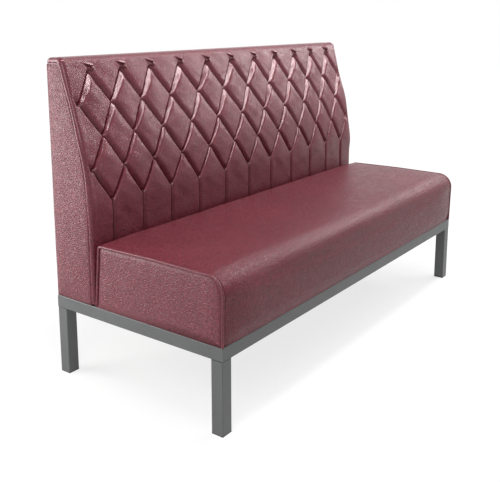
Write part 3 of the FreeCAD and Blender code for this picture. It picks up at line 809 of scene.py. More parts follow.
def welt_tree():
    """A round welt swept along a curve, closed at its ends."""
    nodes, given = new_tree("welt_along_an_edge", {"Radius": "Float", "Sides": "Int", "Step": "Float",
                                                   "Material": "Material"})
    spaced = nodes.add("GeometryNodeResampleCurve", {"Curve": given["Geometry"], "Length": given["Step"]},
                       mode="LENGTH")
    ring = nodes.add("GeometryNodeCurvePrimitiveCircle", {"Resolution": given["Sides"],
                                                          "Radius": given["Radius"]})
    swept = nodes.add("GeometryNodeCurveToMesh", {"Curve": spaced.outputs[0], "Fill Caps": True,
                                                  "Profile Curve": ring.outputs[0]})
    return end_tree(nodes, swept.outputs[0], given["Material"])


def grown_on(name, lines, tree, values):
    """Runs a tree on poly lines and keeps the result as a plain mesh piece."""
    curve = bpy.data.curves.new(name, "CURVE")
    curve.dimensions = "3D"
    for line in lines:
        spline = curve.splines.new("POLY")
        spline.points.add(len(line) - 1)
        spline.points.foreach_set("co", np.column_stack([line, np.ones(len(line))]).ravel())
    carrier = placed(name + "_line", curve)
    modifier = carrier.modifiers.new("grow", "NODES")
    modifier.node_group = tree
    keys = {item.name: item.identifier for item in tree.interface.items_tree
            if item.item_type == "SOCKET" and item.in_out == "INPUT"}
    for label, value in values.items():
        modifier[keys[label]] = value
    graph = bpy.context.evaluated_depsgraph_get()
    mesh = bpy.data.meshes.new_from_object(carrier.evaluated_get(graph), depsgraph=graph)
    bpy.data.objects.remove(carrier)
    bpy.data.curves.remove(curve)
    mesh.name = name
    return placed(name, mesh)


def tree_named(name, maker):
    """The node tree of this name, made the first time that it is asked for."""
    return bpy.data.node_groups.get(name) or maker()


# Quilting

def edge_shares(fineness):
    """Places across a diamond from 0 to 2, close together at both edges."""
    half = (np.arange(fineness + 1) / fineness) ** 1.6
    return np.concatenate([half, 2 - half[-2::-1]])


def column_places(quilt):
    """Lattice columns and their x, from end to end."""
    widest = quilt.columns
    column = np.arange(-widest, widest + 1)
    centre = np.minimum(np.abs(column), quilt.centre_diamonds)
    rest = np.abs(column) - centre
    x = (centre * quilt.centre_width + rest * quilt.end_width) / 2 * np.sign(column)
    return column, x


# How soon the rise from a fold levels off: on a steep lip, where the leather rolls and where it dips.
LIP = 1.25
ROLL = 1.6
DIP = 2


def eased(distance, width, levelling):
    """Rise from 0 at no distance to 1 at the width, steep first and then level."""
    return 1 - (1 - np.clip(distance / width, 0, 1)) ** levelling


def soft_least(softness, *values):
    """The least of several values, rounded where they cross."""
    total = sum(np.exp(-value / softness) for value in values)
    return -softness * np.log(total)


def shingle(rising, falling, row):
    """How proud a diamond stands, from 0 to 1: most near its upper left edge a little below its top tip."""
    along = falling / 2
    edge = (0.30 + 0.70 * smooth(along / 0.75)) * (1 - smooth((along - 0.80) / 0.20))
    return edge * (1 - smooth((rising - 0.35) / 1.2)) * (0.35 + 0.65 * row)


# A short fold past the lattice: the distance over which it begins, the widths of its two sides and its share
# of a full fold's depth. Then the windows in which a short fold and a tuck are worked out, and how far off a
# fold counts that isn't there.
RUN_ON_BEGIN = 0.006
RUN_ON_STEEP_SIDE = 0.009
RUN_ON_SOFT_SIDE = 0.020
RUN_ON_DEPTH_SHARE = 0.8
RUN_ON_WINDOW = (0.07, 0.06)
TUCK_WINDOW = (0.06, 0.06)
NO_FOLD = 9


def fold_at(away_x, away_up, heading, reach, steep):
    """A short fold that runs from a corner and dies out. steep is 1 where its steep side lies to the right of
    its heading and -1 where it lies to the left. Gives its depth, the square of the distance from its middle
    and its strength."""
    along_x, along_up = math.cos(heading), math.sin(heading)
    along = away_x * along_x + away_up * along_up
    across = (away_x * along_up - away_up * along_x) * steep
    fade = np.where(along < 0, np.clip(1 + along / RUN_ON_BEGIN, 0, 1),
                    np.clip(1 - along / reach, 0, 1) ** 0.8)
    shape = np.where(across > 0, eased(across, RUN_ON_STEEP_SIDE, LIP), eased(-across, RUN_ON_SOFT_SIDE, DIP))
    return RUN_ON_DEPTH_SHARE * fade * (1 - shape), across ** 2, fade


def within(x, up, centre_x, centre_up, window):
    """Which places lie in a window round one place."""
    return (np.abs(x - centre_x) < window[0]) & (np.abs(up - centre_up) < window[1])


def diamond_of(u, v, rows):
    """Middle (column, row) of the diamond that holds each place, or of the column past the lattice."""
    inside = (v >= 0) & (v <= rows)
    i = np.where(inside, np.floor((u - v) / 2 + 1e-9), 0)
    j = np.where(inside, np.floor((u + v) / 2 + 1e-9), 0)
    middle_v = np.where(inside, j - i, np.where(v < 0, 0, rows))
    middle_u = np.where(inside, i + j + 1, 2 * np.floor(u / 2 + 1e-9) + 1)
    return middle_u, middle_v


def top_tips(columns, places, quilt):
    """x of the top tips, without those at the ends."""
    tips = columns[((columns + quilt.rows) % 2 == 0) & (np.abs(columns) < quilt.columns)]
    return np.interp(tips, columns, places)


def quilt_height(x, up, quilt):
    """For places across and up from the bottom tips: the share of the height left by the folds, how near a
    fold's sharp middle is, how far the leather swells between the folds, the rise of the small tucks and how
    taut the leather is pulled."""
    columns, places = column_places(quilt)
    last, rows = quilt.columns, quilt.rows
    beyond = np.maximum(np.abs(x) - places[-1], 0)
    u = np.interp(np.clip(x, places[0], places[-1]), places, columns)
    v = up / quilt.half_height
    local = np.where(np.abs(u) < quilt.centre_diamonds, quilt.centre_width, quilt.end_width) / 2
    unit = local * quilt.half_height / np.hypot(local, quilt.half_height)
    middle_u, middle_v = diamond_of(u, v, rows)
    right = u - (middle_u - 1)
    rising, falling = right - (v - middle_v), right + (v - middle_v)
    upper, lower = middle_v < rows - 0.5, middle_v > 0.5
    has_left, has_right = middle_u > -last + 0.5, middle_u < last - 0.5
    above = 1.8 * np.maximum(v - rows, 0)
    low = np.where(lower & has_left, eased((falling + above) * unit, quilt.dip, DIP), 1)
    low = low * np.where(lower & has_right, eased((2 - rising + above) * unit, quilt.edge, ROLL), 1)
    flank = quilt.flank * (1 + (quilt.low_flank - 1) * np.clip((rows - 0.4 - v) / (rows - 1), 0, 1.2) ** 1.5)
    flank_left = np.where(upper & has_left, rising * unit * flank / quilt.depth, NO_FOLD)
    narrow = quilt.roll * (0.25 + 0.75 * smooth(rising / 0.7))
    flank_right = np.where(upper & has_right, eased((2 - falling) * unit, narrow, ROLL), NO_FOLD)
    top = 1 + quilt.proud / quilt.depth * shingle(rising, falling, (middle_v + 1) / rows) * (upper & has_left)
    f = soft_least(quilt.crest / quilt.depth, flank_left, flank_right * top, low * top)
    taut = smooth((np.minimum(flank_right, low) * top - flank_left) * 4 + 1) * (flank_left < 1.2 * top)
    # The slot deepens each fold's sharp middle, and further on it also paints shade there.
    slot = np.zeros_like(x)
    for there, distance, sharp in (
        (upper & has_left, rising, 1.0),
        (upper & has_right, 2 - falling, quilt.falling_slot),
        (lower & has_left, falling, quilt.falling_slot),
        (lower & has_right, 2 - rising, 1.0),
    ):
        near = sharp * np.exp(-((distance * unit / quilt.slot_width) ** 2))
        slot = np.maximum(slot, np.where(there, near, 0))
    crown = arch(rising) * arch(falling)
    past = np.maximum(np.maximum(-v, v - rows), 0)
    crown = np.where(past > 0, arch(right) ** 2 * (1 - smooth(past / 0.7)), crown)
    f, slot = pleated(f, slot, v, right, local, quilt, has_left, has_right)
    taut = taut * (v > -0.05)
    fade = smooth(beyond / quilt.run_out)
    f = f + (1 - f) * fade
    slot = slot * (1 - fade)
    for corner_x, corner_up, turn, steep in run_on_folds(quilt, places):
        near = within(x, up, corner_x, corner_up, RUN_ON_WINDOW)
        depth, across, strength = fold_at(x[near] - corner_x, up[near] - corner_up, turn, quilt.run_on, steep)
        f[near] *= 1 - depth
        sharp = strength * np.exp(-across / np.maximum(strength, 1e-6) / quilt.slot_width ** 2)
        slot[near] = np.maximum(slot[near], sharp)
    rise = np.zeros_like(x)
    tip_up = rows * quilt.half_height
    for tip_x in top_tips(columns, places, quilt):
        near = within(x, up, tip_x, tip_up, TUCK_WINDOW)
        lifted, dark, pulled = tuck_at(x[near] - tip_x, up[near] - tip_up, quilt)
        rise[near] += lifted
        f[near] = np.maximum(f[near], np.clip(lifted / quilt.tuck_rise * 3, 0, 1))
        # The tuck's dark line and notch join the slot, so they are cut in and painted as shade.
        slot[near] = np.maximum(slot[near], dark)
        taut[near] = np.maximum(taut[near], pulled)
    return f, slot, crown, rise, taut


def arch(place):
    """Height of an arch that stands from 0 to 2."""
    return np.sin(np.clip(place / 2, 0, 1) * math.pi)


def run_on_folds(quilt, places):
    """Outer corners of the lattice, with the heading and the steep side of the short fold that runs on."""
    lean = math.atan2(quilt.half_height, quilt.end_width / 2)
    for row in range(1, quilt.rows, 2):
        yield places[0], row * quilt.half_height, math.pi - lean, -1
        yield places[-1], row * quilt.half_height, lean, 1


# The tuck over a top tip, with places across and up from the tip: the leaf's root and heading, how far it
# takes to begin, the widths of its two edges and the height from which it lies flat. Then the line beside
# it, cut in and painted as shade, the knot, and the notch ring, also cut in and painted as shade.
LEAF_ROOT = (0.018, 0.0125)
LEAF_HEADING = math.radians(157)
LEAF_BEGIN = 0.0045
LEAF_SOFT_EDGE = 0.0035
LEAF_SHARP_EDGE = 0.0022
LEAF_FLAT_FROM = 0.022
SHADE_PLACE = 0.0030
SHADE_WIDTH = 0.0017
SHADE_BEGIN = 0.002
KNOT_PLACE = (0.021, 0.006)
KNOT_RADIUS = 0.0048
NOTCH_PLACE = (0.018, 0.0035)
NOTCH_RADIUS = 0.0062


def tuck_at(away_x, away_up, quilt):
    """The leaf of leather folded over a top tip and the knot beside it: their rise, the dark line and notch
    beside them, cut in and painted as shade, and how taut the leather is."""
    from_x, from_up = away_x - LEAF_ROOT[0], away_up - LEAF_ROOT[1]
    along = from_x * math.cos(LEAF_HEADING) + from_up * math.sin(LEAF_HEADING)
    across = from_x * math.sin(LEAF_HEADING) - from_up * math.cos(LEAF_HEADING)
    left = 1 - np.clip(along / quilt.tuck_length, 0, 1)
    width = quilt.tuck_width * (0.45 + 0.55 * left)
    fall = 0.33 * np.clip(across, 0, None) / quilt.tuck_rise
    over = np.where(across > 0, 1 - smooth((across - width) / LEAF_SOFT_EDGE),
                    1 - np.clip(-across / LEAF_SHARP_EDGE, 0, 1))
    leaf = np.clip(left - fall, 0, 1) * over * smooth(1 + along / LEAF_BEGIN)
    flat = np.clip(away_up - LEAF_FLAT_FROM, 0, None) ** 2 / 0.05 * smooth(leaf * 6)
    from_knot = np.hypot(away_x - KNOT_PLACE[0], (away_up - KNOT_PLACE[1]) * 1.2)
    knot = np.exp(-(from_knot / KNOT_RADIUS) ** 2)
    # Painted shade, also cut in as a slot: a dark line along the leaf's sharp edge and a ring round the
    # notch.
    dark = np.exp(-((across + SHADE_PLACE) / SHADE_WIDTH) ** 2)
    dark = dark * smooth(1 + along / SHADE_BEGIN) * smooth(left / 0.5)
    ring = np.hypot(away_x - NOTCH_PLACE[0], away_up - NOTCH_PLACE[1]) / NOTCH_RADIUS
    notch = np.exp(-((ring - 1) / 0.35) ** 2)
    rise = quilt.tuck_rise * leaf + quilt.knot_rise * knot + flat
    pulled = smooth(leaf * 4) + smooth(knot * 2)
    return rise, np.clip(dark + 0.8 * notch, 0, 1) * (1 - np.clip(knot * 1.5, 0, 1)), np.clip(pulled, 0, 1)


def pleated(f, slot, v, right, local, quilt, has_left, has_right):
    """Adds the upright pleats below the bottom tips."""
    shown = smooth((0.12 - v) / 0.2)
    weight = shown * quilt.pleat_depth / quilt.depth
    for there, shape, distance in (
        (has_left, eased(right * local, quilt.pleat_lip, LIP), right * local),
        (has_right, eased((2 - right) * local, quilt.pleat_dip, ROLL), (2 - right) * local),
    ):
        f = f * np.where(there, 1 - weight * (1 - shape), 1)
        close = np.exp(-((distance / quilt.slot_width / 1.5) ** 2)) * shown * 0.95
        slot = np.maximum(slot, np.where(there, close, 0))
    return f, slot


def lattice_patch(quilt):
    """Corner points (column, row) and faces of the diamond grid, cut off square at its four sides."""
    shares = edge_shares(quilt.fineness)
    last, rows = quilt.columns, quilt.rows
    reach = last + rows + 1
    starts = np.arange(-reach - reach % 2, reach + 2, 2)
    lines = np.unique(np.round((starts[:, None] + shares[None, :]).ravel(), 9))
    a, b = np.meshgrid(lines, lines, indexing="ij")
    u, v = (a + b) / 2, (b - a) / 2
    keep = (np.abs(u) <= last + 1e-7) & (v >= -1e-7) & (v <= rows + 1e-7)
    index = np.full(keep.shape, -1)
    index[keep] = np.arange(keep.sum())
    corners = [index[:-1, :-1], index[1:, :-1], index[1:, 1:], index[:-1, 1:]]
    stack = np.stack([c.ravel() for c in corners], 1)
    count = (stack >= 0).sum(1)
    faces = [tuple(row) for row in stack[count == 4]]
    faces += [tuple(row[row >= 0]) for row in stack[count == 3]]
    return u[keep], v[keep], faces, shares


def back_stations(back, quilt, shares):
    """Distances across the face, from the middle to past the end seam, and the lattice's own columns."""
    columns, places = column_places(quilt)
    last = quilt.columns
    starts = np.arange(-last - 1, last + 1, 2)
    u = np.unique(np.round((starts[:, None] + shares[None, :]).ravel(), 9))
    u = u[np.abs(u) <= last + 1e-7]
    middle = np.interp(u, columns, places)
    flat = COVER_HIGH.x - back.side_radius
    arc = flat + back.side_radius * math.pi / 2
    seam = arc + back.seam_inset - back.side_radius
    side = steps((places[-1], 9), (flat, 9), (arc, 2), (seam, 1), (seam + back.seam_tuck, 0))[1:]
    return np.concatenate([-side[::-1], middle, side]), middle


# Finer mesh round the tucks: its columns beside a top tip and its rows over it, each with the first, the last
# and how many there are. Then the next coarse row and the least gap between columns.
TUCK_COLUMNS = (-0.030, 0.028, 31)
TUCK_ROWS = (0.0012, 0.036, 22)
ROW_OVER_TUCKS = 0.0385
COLUMN_GAP = 0.0007


def with_tips_finer(stations, columns, places, quilt):
    """The stations with more of them round each top tip."""
    finer = list(stations)
    for tip_x in top_tips(columns, places, quilt):
        for x in tip_x + np.linspace(*TUCK_COLUMNS):
            if np.abs(np.array(finer) - x).min() > COLUMN_GAP:
                finer.append(x)
    return np.sort(finer)


def match_key(across, along):
    """The key by which a corner of the skin is found again."""
    return int(round(across * MATCH_STEPS)), int(round(along * MATCH_STEPS))


def joined_rows(coarse, coarse_at, finer, finer_at, lookup):
    """Faces between a row of stations and a row of more stations."""
    faces = []
    for here, there in zip(coarse[:-1], coarse[1:]):
        between = finer[(finer > here - 1e-9) & (finer < there + 1e-9)]
        corners = [(here, coarse_at), (there, coarse_at)] + [(x, finer_at) for x in between[::-1]]
        faces.append(tuple(lookup[match_key(x, at)] for x, at in corners))
    return faces


def round_end(across, back):
    """x, inset and the share of the facing that points along the bench, for a distance across the face."""
    flat = COVER_HIGH.x - back.side_radius
    arc = back.side_radius * math.pi / 2
    past = np.clip(np.abs(across) - flat, 0, None)
    angle = np.clip(past / back.side_radius, 0, math.pi / 2)
    over = np.clip(past - arc, 0, back.seam_inset - back.side_radius)
    tuck = np.clip(past - arc - (back.seam_inset - back.side_radius), 0, None)
    x = np.minimum(np.abs(across), flat) + back.side_radius * np.sin(angle) - tuck
    inset = back.side_radius * (1 - np.cos(angle)) + over
    return x * np.sign(across), inset, np.sin(angle) * np.sign(across), np.cos(angle)


def lattice_rows(shares, rows):
    """Rows of mesh points up the lattice, beside it at both ends."""
    lines = np.unique(np.round((np.arange(-1, rows + 2, 2)[:, None] + shares[None, :]).ravel(), 9))
    return lines[(lines >= -1e-7) & (lines <= rows + 1e-7)]


def welded_patches(patches):
    """Joins (across, along, faces) patches where their corners match. Also gives the corners' numbers."""
    count = 0
    faces = []
    for across, _, patch in patches:
        faces += [np.array(f) + count for f in patch]
        count += len(across)
    across = np.concatenate([patch[0] for patch in patches])
    along = np.concatenate([patch[1] for patch in patches])
    keys = np.stack([np.round(across * MATCH_STEPS), np.round(along * MATCH_STEPS)], 1).astype(np.int64)
    unique, first, back_to = np.unique(keys, axis=0, return_index=True, return_inverse=True)
    back_to = back_to.ravel()
    lookup = {(int(key[0]), int(key[1])): index for index, key in enumerate(unique)}
    return across[first], along[first], [tuple(back_to[f]) for f in faces], lookup


def inner_profile(run, straight, wadding):
    """The (y, z) places of the plain face that closes the skin from inside, from the rear seam to the hem."""
    rising = run.along < run.along[-1] * 0.9
    top = np.interp(REAR_HIGH.z, run.z[rising], run.along[rising]) - 0.004
    y, z, _, _ = on_run(run, np.linspace(top, straight + 0.012, 12), -wadding)
    return np.append(y, run.y[0]), np.append(z, COVER_LOW.z + 0.0025)


def quilted_back_mesh():
    """Outer skin with its sewn folds, closed by a plain inner face."""
    booth = bpy.context.scene.booth
    back, quilt = booth.back, booth.quilt
    run = back_run(back)
    straight = run.along[np.argmax(run.z >= COVER_LOW.z + back.hem_radius - 1e-6)]
    tips = straight + quilt.bottom_tip - back.hem_radius
    tips_above = tips + quilt.rows * quilt.half_height
    end = run.along[-1]
    u, v, patch, shares = lattice_patch(quilt)
    stations, middle = back_stations(back, quilt, shares)
    columns, places = column_places(quilt)
    below = steps((0, 2), (back.turn_under - 2 * back.hem_radius, 10), (straight + 0.004, 12),
                  (tips - 0.06, 14), (tips, 0))
    fine = tips_above + np.linspace(*TUCK_ROWS)
    fine_stations = with_tips_finer(stations, columns, places, quilt)
    above = steps((tips_above + ROW_OVER_TUCKS, 10), (end - 0.07, 8), (end - 0.028, 8), (end, 0))
    beside = tips + lattice_rows(shares, quilt.rows) * quilt.half_height
    left = stations[stations <= middle[0] + 1e-9]
    right = stations[stations >= middle[-1] - 1e-9]
    patches = [(np.interp(u, columns, places), tips + v * quilt.half_height, patch)]
    for xs, ys in ((stations, below), (fine_stations, fine), (stations, above), (left, beside),
                   (right, beside)):
        across, along = np.meshgrid(xs, ys)
        patches.append((across.ravel(), along.ravel(), grid_faces(len(ys), len(xs))))
    across, along, faces, lookup = welded_patches(patches)
    faces += joined_rows(stations, tips_above, fine_stations, fine[0], lookup)
    faces += joined_rows(stations, above[0], fine_stations, fine[-1], lookup)
    verts, crease, taut = quilted_places(across, along, run, tips, back, quilt)
    inner_y, inner_z = inner_profile(run, straight, back.wadding)
    station_x = round_end(stations, back)[0]
    inner = np.array([(x, y, z) for y, z in zip(inner_y, inner_z) for x in station_x])
    count, width, depth = len(verts), len(stations), len(inner_y)
    faces += [tuple(f) for f in grid_faces(depth, width) + count]
    hem_row = [lookup[match_key(x, 0)] for x in stations]
    seam_row = [lookup[match_key(x, end)] for x in stations]
    top_row = [count + n for n in range(width)]
    low_row = [count + (depth - 1) * width + n for n in range(width)]
    for one, other in ((seam_row, top_row), (low_row, hem_row)):
        faces += [(one[n], one[n + 1], other[n + 1], other[n]) for n in range(width - 1)]
    upward = np.unique(np.concatenate([below, beside, fine, above]).round(9))
    for n in (0, width - 1):
        outer = [lookup[match_key(stations[n], along_there)] for along_there in upward]
        faces.append(tuple(outer + [count + row * width + n for row in range(depth)]))
    crease, taut = (np.concatenate([values, np.zeros(len(inner))]) for values in (crease, taut))
    return np.concatenate([verts, inner]), faces, crease, taut


# Beside the folds: the height of the fine unevenness, and the bulge of the top's front edge near its ends.
RUFFLE = 0.0007
CORNER_BULGE = 0.003
CORNER_BULGE_WIDTH = 0.022


def quilted_places(across, along, run, tips, back, quilt):
    """Places of the sewn skin, how much shade is painted into its folds and how taut it is at each of them.
    """
    wander_x = waves(across, along, quilt.seed, 0.16) * quilt.wobble
    wander_up = waves(across, along, quilt.seed + 1, 0.16) * quilt.wobble
    calm = smooth((COVER_HIGH.x - np.abs(across)) / 0.05)
    x, inset, facing_x, facing_rest = round_end(across, back)
    f, slot, crown, rise, taut = quilt_height(across, along - tips, quilt)
    uneven = waves(across, along, quilt.seed + 2, 0.12)
    depth = quilt.depth * (1 + 0.10 * uneven)
    swell = quilt.crown * (1 + 0.35 * waves(across, along, quilt.seed + 3, 0.2)) * crown
    height = -depth * (1 - f) + swell * f - quilt.slot_depth * slot * (1 - 0.5 * f) + rise
    height += RUFFLE * waves(across, along, quilt.seed + 4, 0.05) * f * calm
    on_face = smooth((along - 0.03) / 0.05) * smooth((run.along[-1] - 0.075 - along) / 0.012)
    height = height * on_face
    corner = run.along[-1] - back.top_depth - 0.012
    near_end = smooth((np.abs(across) - COVER_HIGH.x + 0.03) / 0.02)
    height += CORNER_BULGE * np.exp(-((along - corner) / CORNER_BULGE_WIDTH) ** 2) * near_end
    y, z, face_y, face_z = on_run(run, along + wander_up * calm * on_face, -inset)
    x = x + wander_x * calm * on_face + height * facing_x
    y = y + height * facing_rest * face_y
    z = z + height * facing_rest * face_z
    # Painted shade: the leather darkens in the slots and deep in the folds, where shade falls.
    crease = np.clip(slot * 0.9 + np.clip(1 - f, 0, 1) ** 2 * 0.45 * (1 - taut), 0, 1) * on_face
    aside = np.abs(facing_x)
    rounded = smooth((aside - 0.1) / 0.2) * smooth((1.15 - aside) / 0.2) * smooth((along - tips) / 0.1)
    return np.column_stack([x, y, z]), crease, np.maximum(taut * on_face, 0.8 * rounded)


# Operators

class BoothOperator:
    """What the operators share."""

    bl_options = {"REGISTER", "UNDO"}


class BOOTH_OT_quilted_back(BoothOperator, bpy.types.Operator):
    """Make the quilted leather of the back, with its diamonds, pleats and tucks"""

    bl_idname = "booth.quilted_back"
    bl_label = "Quilted Back"

    def execute(self, context):
        verts, faces, crease, taut = quilted_back_mesh()
        piece = mesh_piece("quilted_back", verts, faces, finish("burgundy_quilted"),
                           {"crease": crease, "taut": taut})
        finish_piece(piece, "quilted_leather", "back_quilted_cover")
        return {"FINISHED"}


# Distances of the mesh rings behind the end seam of the back, and the raised band there: its width and rise,
# the place and width of each of its two rows of stitches, how deep they pull and how far the rear edge rolls
# in. Then the stitches of these rows, as distances behind the seam and past the back's outline.
BACK_RINGS = (0.0, 0.0007, 0.0015, 0.0022, 0.0029, 0.0046, 0.0066, 0.0074, 0.0082, 0.0094, 0.0106, 0.0135,
              0.018)
BAND_WIDTH = 0.0085
BAND_RISE = 0.0014
INNER_ROW = (0.0004, 0.0015)
OUTER_ROW = (0.0088, 0.0013)
ROW_DEPTH = 0.0016
BACK_ROLL = 0.0022
STITCH_ROWS = ((0.0006, -0.0018), (0.0090, -0.0003))


def back_end_relief(places, depth, seam):
    """x of a back end panel, with its raised band and full middle, the shade painted into its stitch rows
    and how taut it is.
    """
    band = smooth(seam / 0.0015) * (1 - smooth((seam - BAND_WIDTH) / 0.002))
    rows = sum(np.exp(-((seam - place) / width) ** 2) for place, width in (INNER_ROW, OUTER_ROW))
    full = smooth(depth / 0.05) * sizes_back().end_fullness
    rolled = BACK_ROLL * (1 - np.clip((COVER_HIGH.y - places[:, 0]) / 0.004, 0, 1)) ** 2
    dropped = 0.0006 * (1 - smooth(seam / 0.0012))
    uneven = 0.0003 * waves(places[:, 0], places[:, 1], 31, 0.09)
    x = COVER_HIGH.x - 0.0004 + BAND_RISE * band - ROW_DEPTH * rows + full + uneven - rolled - dropped
    # Painted shade: the leather darkens in the grooves of the two stitch rows.
    return x, np.clip(rows, 0, 1), 0.6 * band


class BOOTH_OT_back_ends(BoothOperator, bpy.types.Operator):
    """Make the flat end panels of the back, with the raised band along their seam"""

    bl_idname = "booth.back_ends"
    bl_label = "Back End Panels"

    def execute(self, context):
        back = context.scene.booth.back
        run = back_run(back)
        start = run.along[np.argmax(run.z >= COVER_LOW.z + back.hem_radius)]
        along = np.linspace(start, run.along[-1], 260)
        rings = []
        for depth in BACK_RINGS:
            y, z, _, _ = on_run(run, along, -(back.seam_inset + depth + HAIR))
            keep = (y < COVER_HIGH.y - 0.0015 - depth) & (z > COVER_LOW.z + 0.0005)
            rings.append(np.column_stack([y, z])[keep])
        edge = rings[0]
        foot = np.array([[COVER_HIGH.y, COVER_LOW.z], [edge[0, 0], COVER_LOW.z]])
        heights = np.linspace(edge[-1, 1] - 0.004, COVER_LOW.z + 0.004, 60)
        rear = np.array([[COVER_HIGH.y, z] for z in heights])
        beside = [rear[2:-2] - np.array([inward, 0]) for inward in (0.0025, 0.008)]
        border = np.concatenate([edge, rear, foot])
        for side, sign in SIDES:
            end_panel(f"back_{side}_end", f"back_{side}_panel", sign, edge, border, rings[1:] + beside, 0.011,
                      COVER_HIGH.x - 0.0028, back_end_relief)
        return {"FINISHED"}


# The rear leather: how far and over which width its edges roll in, and how high it ripples.
REAR_ROLL = 0.0014
REAR_ROLL_WIDTH = 0.004
REAR_RIPPLE = 0.0004


class BOOTH_OT_back_rear(BoothOperator, bpy.types.Operator):
    """Make the plain leather stretched over the rear of the back"""

    bl_idname = "booth.back_rear"
    bl_label = "Rear Leather"

    def execute(self, context):
        back = context.scene.booth.back
        xs = steps((REAR_LOW.x, 8), (REAR_LOW.x + 0.02, 90), (REAR_HIGH.x - 0.02, 8), (REAR_HIGH.x, 0))
        zs = steps((REAR_LOW.z, 8), (REAR_LOW.z + 0.02, 44), (REAR_HIGH.z - 0.02, 10), (REAR_HIGH.z, 0))
        x, z = np.meshgrid(xs, zs)
        x, z = x.ravel(), z.ravel()
        to_side = np.minimum(x - REAR_LOW.x, REAR_HIGH.x - x)
        to_top, to_foot = REAR_HIGH.z - z, z - REAR_LOW.z
        swell = smooth(to_side / 0.12) * smooth(to_top / 0.10) * smooth(to_foot / 0.12)
        edge = np.minimum(np.minimum(to_side, to_top), to_foot)
        rolled = REAR_ROLL * (1 - np.clip(edge / REAR_ROLL_WIDTH, 0, 1)) ** 2
        y = REAR_HIGH.y - rolled + back.rear_fullness * swell * (1 + 0.12 * waves(x, z, 41, 0.3))
        y += REAR_RIPPLE * waves(x, z, 42, 0.08) * smooth(edge / 0.03)
        outer = np.column_stack([x, y, z])
        inner = np.column_stack([x, y - (REAR_HIGH.y - REAR_LOW.y) * 0.8, z])
        piece = mesh_piece("back_rear_leather", np.concatenate([outer, inner]), two_sided(len(zs), len(xs)),
                           finish("burgundy_leather"))
        finish_piece(piece, "smooth_leather", "back_rear_cover")
        return {"FINISHED"}


def cushion_shares(run):
    """Shares of the way round the seat's profile, closer together where it bends."""
    weight = np.abs(np.gradient(run.turn, run.along + np.arange(len(run.along)) * 1e-9))
    closeness = 1 / (0.0085 / (1 + np.clip(weight, 0, 80) * 0.035))
    total = np.concatenate([[0], np.cumsum(np.diff(run.along) * (closeness[1:] + closeness[:-1]) / 2)])
    count = int(total[-1]) + 1
    return np.interp(np.linspace(0, total[-1], count), total, run.along) / run.along[-1]


# The seat's leather: how deep it dips at the welt and over which width, the heights of its two ripples, and
# how far its front draws in at the foot.
WELT_DIP = 0.0024
WELT_DIP_WIDTH = 0.006
SHORT_RIPPLE = 0.0009
LONG_RIPPLE = 0.0011
FOOT_DRAW = 0.004


def cushion_loop(x, straight, drawn, shares):
    """The cushion's closed outline at one x, outer skin first, and the shade painted on it beside the welt's
    seam.
    """
    seat = bpy.context.scene.booth.seat
    to_end = SEAT_HIGH.x - abs(x)
    near = max(abs(x) - (SEAT_HIGH.x - seat.softness), 0) / seat.softness
    draw = near * near
    y0, z0, face_y, face_z = on_run(straight, shares * straight.along[-1])
    y1, z1, _, _ = on_run(drawn, shares * drawn.along[-1])
    y, z = y0 + (y1 - y0) * draw, z0 + (z1 - z0) * draw
    xs = np.full_like(y, x)
    height = z - SEAT_LOW.z
    dipped = WELT_DIP * (1 - np.clip(to_end / WELT_DIP_WIDTH, 0, 1)) ** 1.6
    pull = seat.seam_pull * (1 - smooth(to_end / 0.016)) + dipped
    on_top = smooth((height - 0.12) / 0.06)
    ripple = waves(xs, y + z, 51, 0.22) * SHORT_RIPPLE + waves(x, y, 52, 0.5) * LONG_RIPPLE
    calm = smooth(to_end / 0.06) * smooth(height / 0.03)
    belly = seat.front_belly * np.sin(np.clip(height / seat.thickness, 0, 1) * math.pi) ** 0.8
    forward = smooth((-face_y - 0.4) / 0.5)
    foot = FOOT_DRAW * (1 - smooth(height / 0.045)) * forward
    pull = pull * (1 - 0.75 * smooth((face_y - 0.3) / 0.4))
    lift = ripple * calm * (0.35 + 0.65 * on_top) - pull + belly * forward * calm - foot
    outer = np.column_stack([xs, y + lift * face_y, z + lift * face_z])
    inner = np.column_stack([xs, y - seat.skin * face_y, z - seat.skin * face_z])
    # Painted shade: the leather darkens right beside the welt at each end.
    return np.concatenate([outer, inner[::-1]]), np.full(2 * len(y), 0.5 * math.exp(-(to_end / 0.0016) ** 2))


class BOOTH_OT_seat_cushion(BoothOperator, bpy.types.Operator):
    """Make the crowned leather cushion of the seat"""

    bl_idname = "booth.seat_cushion"
    bl_label = "Seat Cushion"

    def execute(self, context):
        seat = context.scene.booth.seat
        end = SEAT_HIGH.x
        xs = steps((-end, 10), (-end + 0.008, 10), (-end + 0.04, 20), (-end + 0.2, 60), (end - 0.2, 20),
                   (end - 0.04, 10), (end - 0.008, 10), (end, 0))
        straight = seat_run(seat, 0.0)
        drawn = seat_run(seat, seat.end_draw)
        shares = cushion_shares(straight)
        # The second value of each loop is the shade painted beside the welts.
        loops, deep = zip(*[cushion_loop(x, straight, drawn, shares) for x in xs])
        verts, faces = tube_along(loops)
        piece = mesh_piece("seat_cushion", verts, faces, finish("burgundy_seat"),
                           {"crease": np.concatenate(deep)})
        outer = np.tile(np.arange(len(loops[0])) < len(loops[0]) // 2, len(loops))
        rear = COVER_HIGH.y - sizes_back().depth - 0.03
        inside = ~outer | (verts[:, 1] > rear) | (verts[:, 2] < SEAT_LOW.z + 0.012)
        swollen(piece, inside | (np.abs(verts[:, 0]) > end - 0.005), CUSHION_SWELL)
        finish_piece(piece, "smooth_leather", "seat_cover")
        return {"FINISHED"}


# Distances of the mesh rings inside the welt, the heights over the foot from which the panel and the welt
# follow the seat's profile, and how far the panel's edge rolls in.
SEAT_RINGS = (0.0, 0.0012, 0.0030, 0.0055, 0.0090, 0.014)
PANEL_START = 0.012
WELT_START = 0.009
SEAT_ROLL = 0.0034


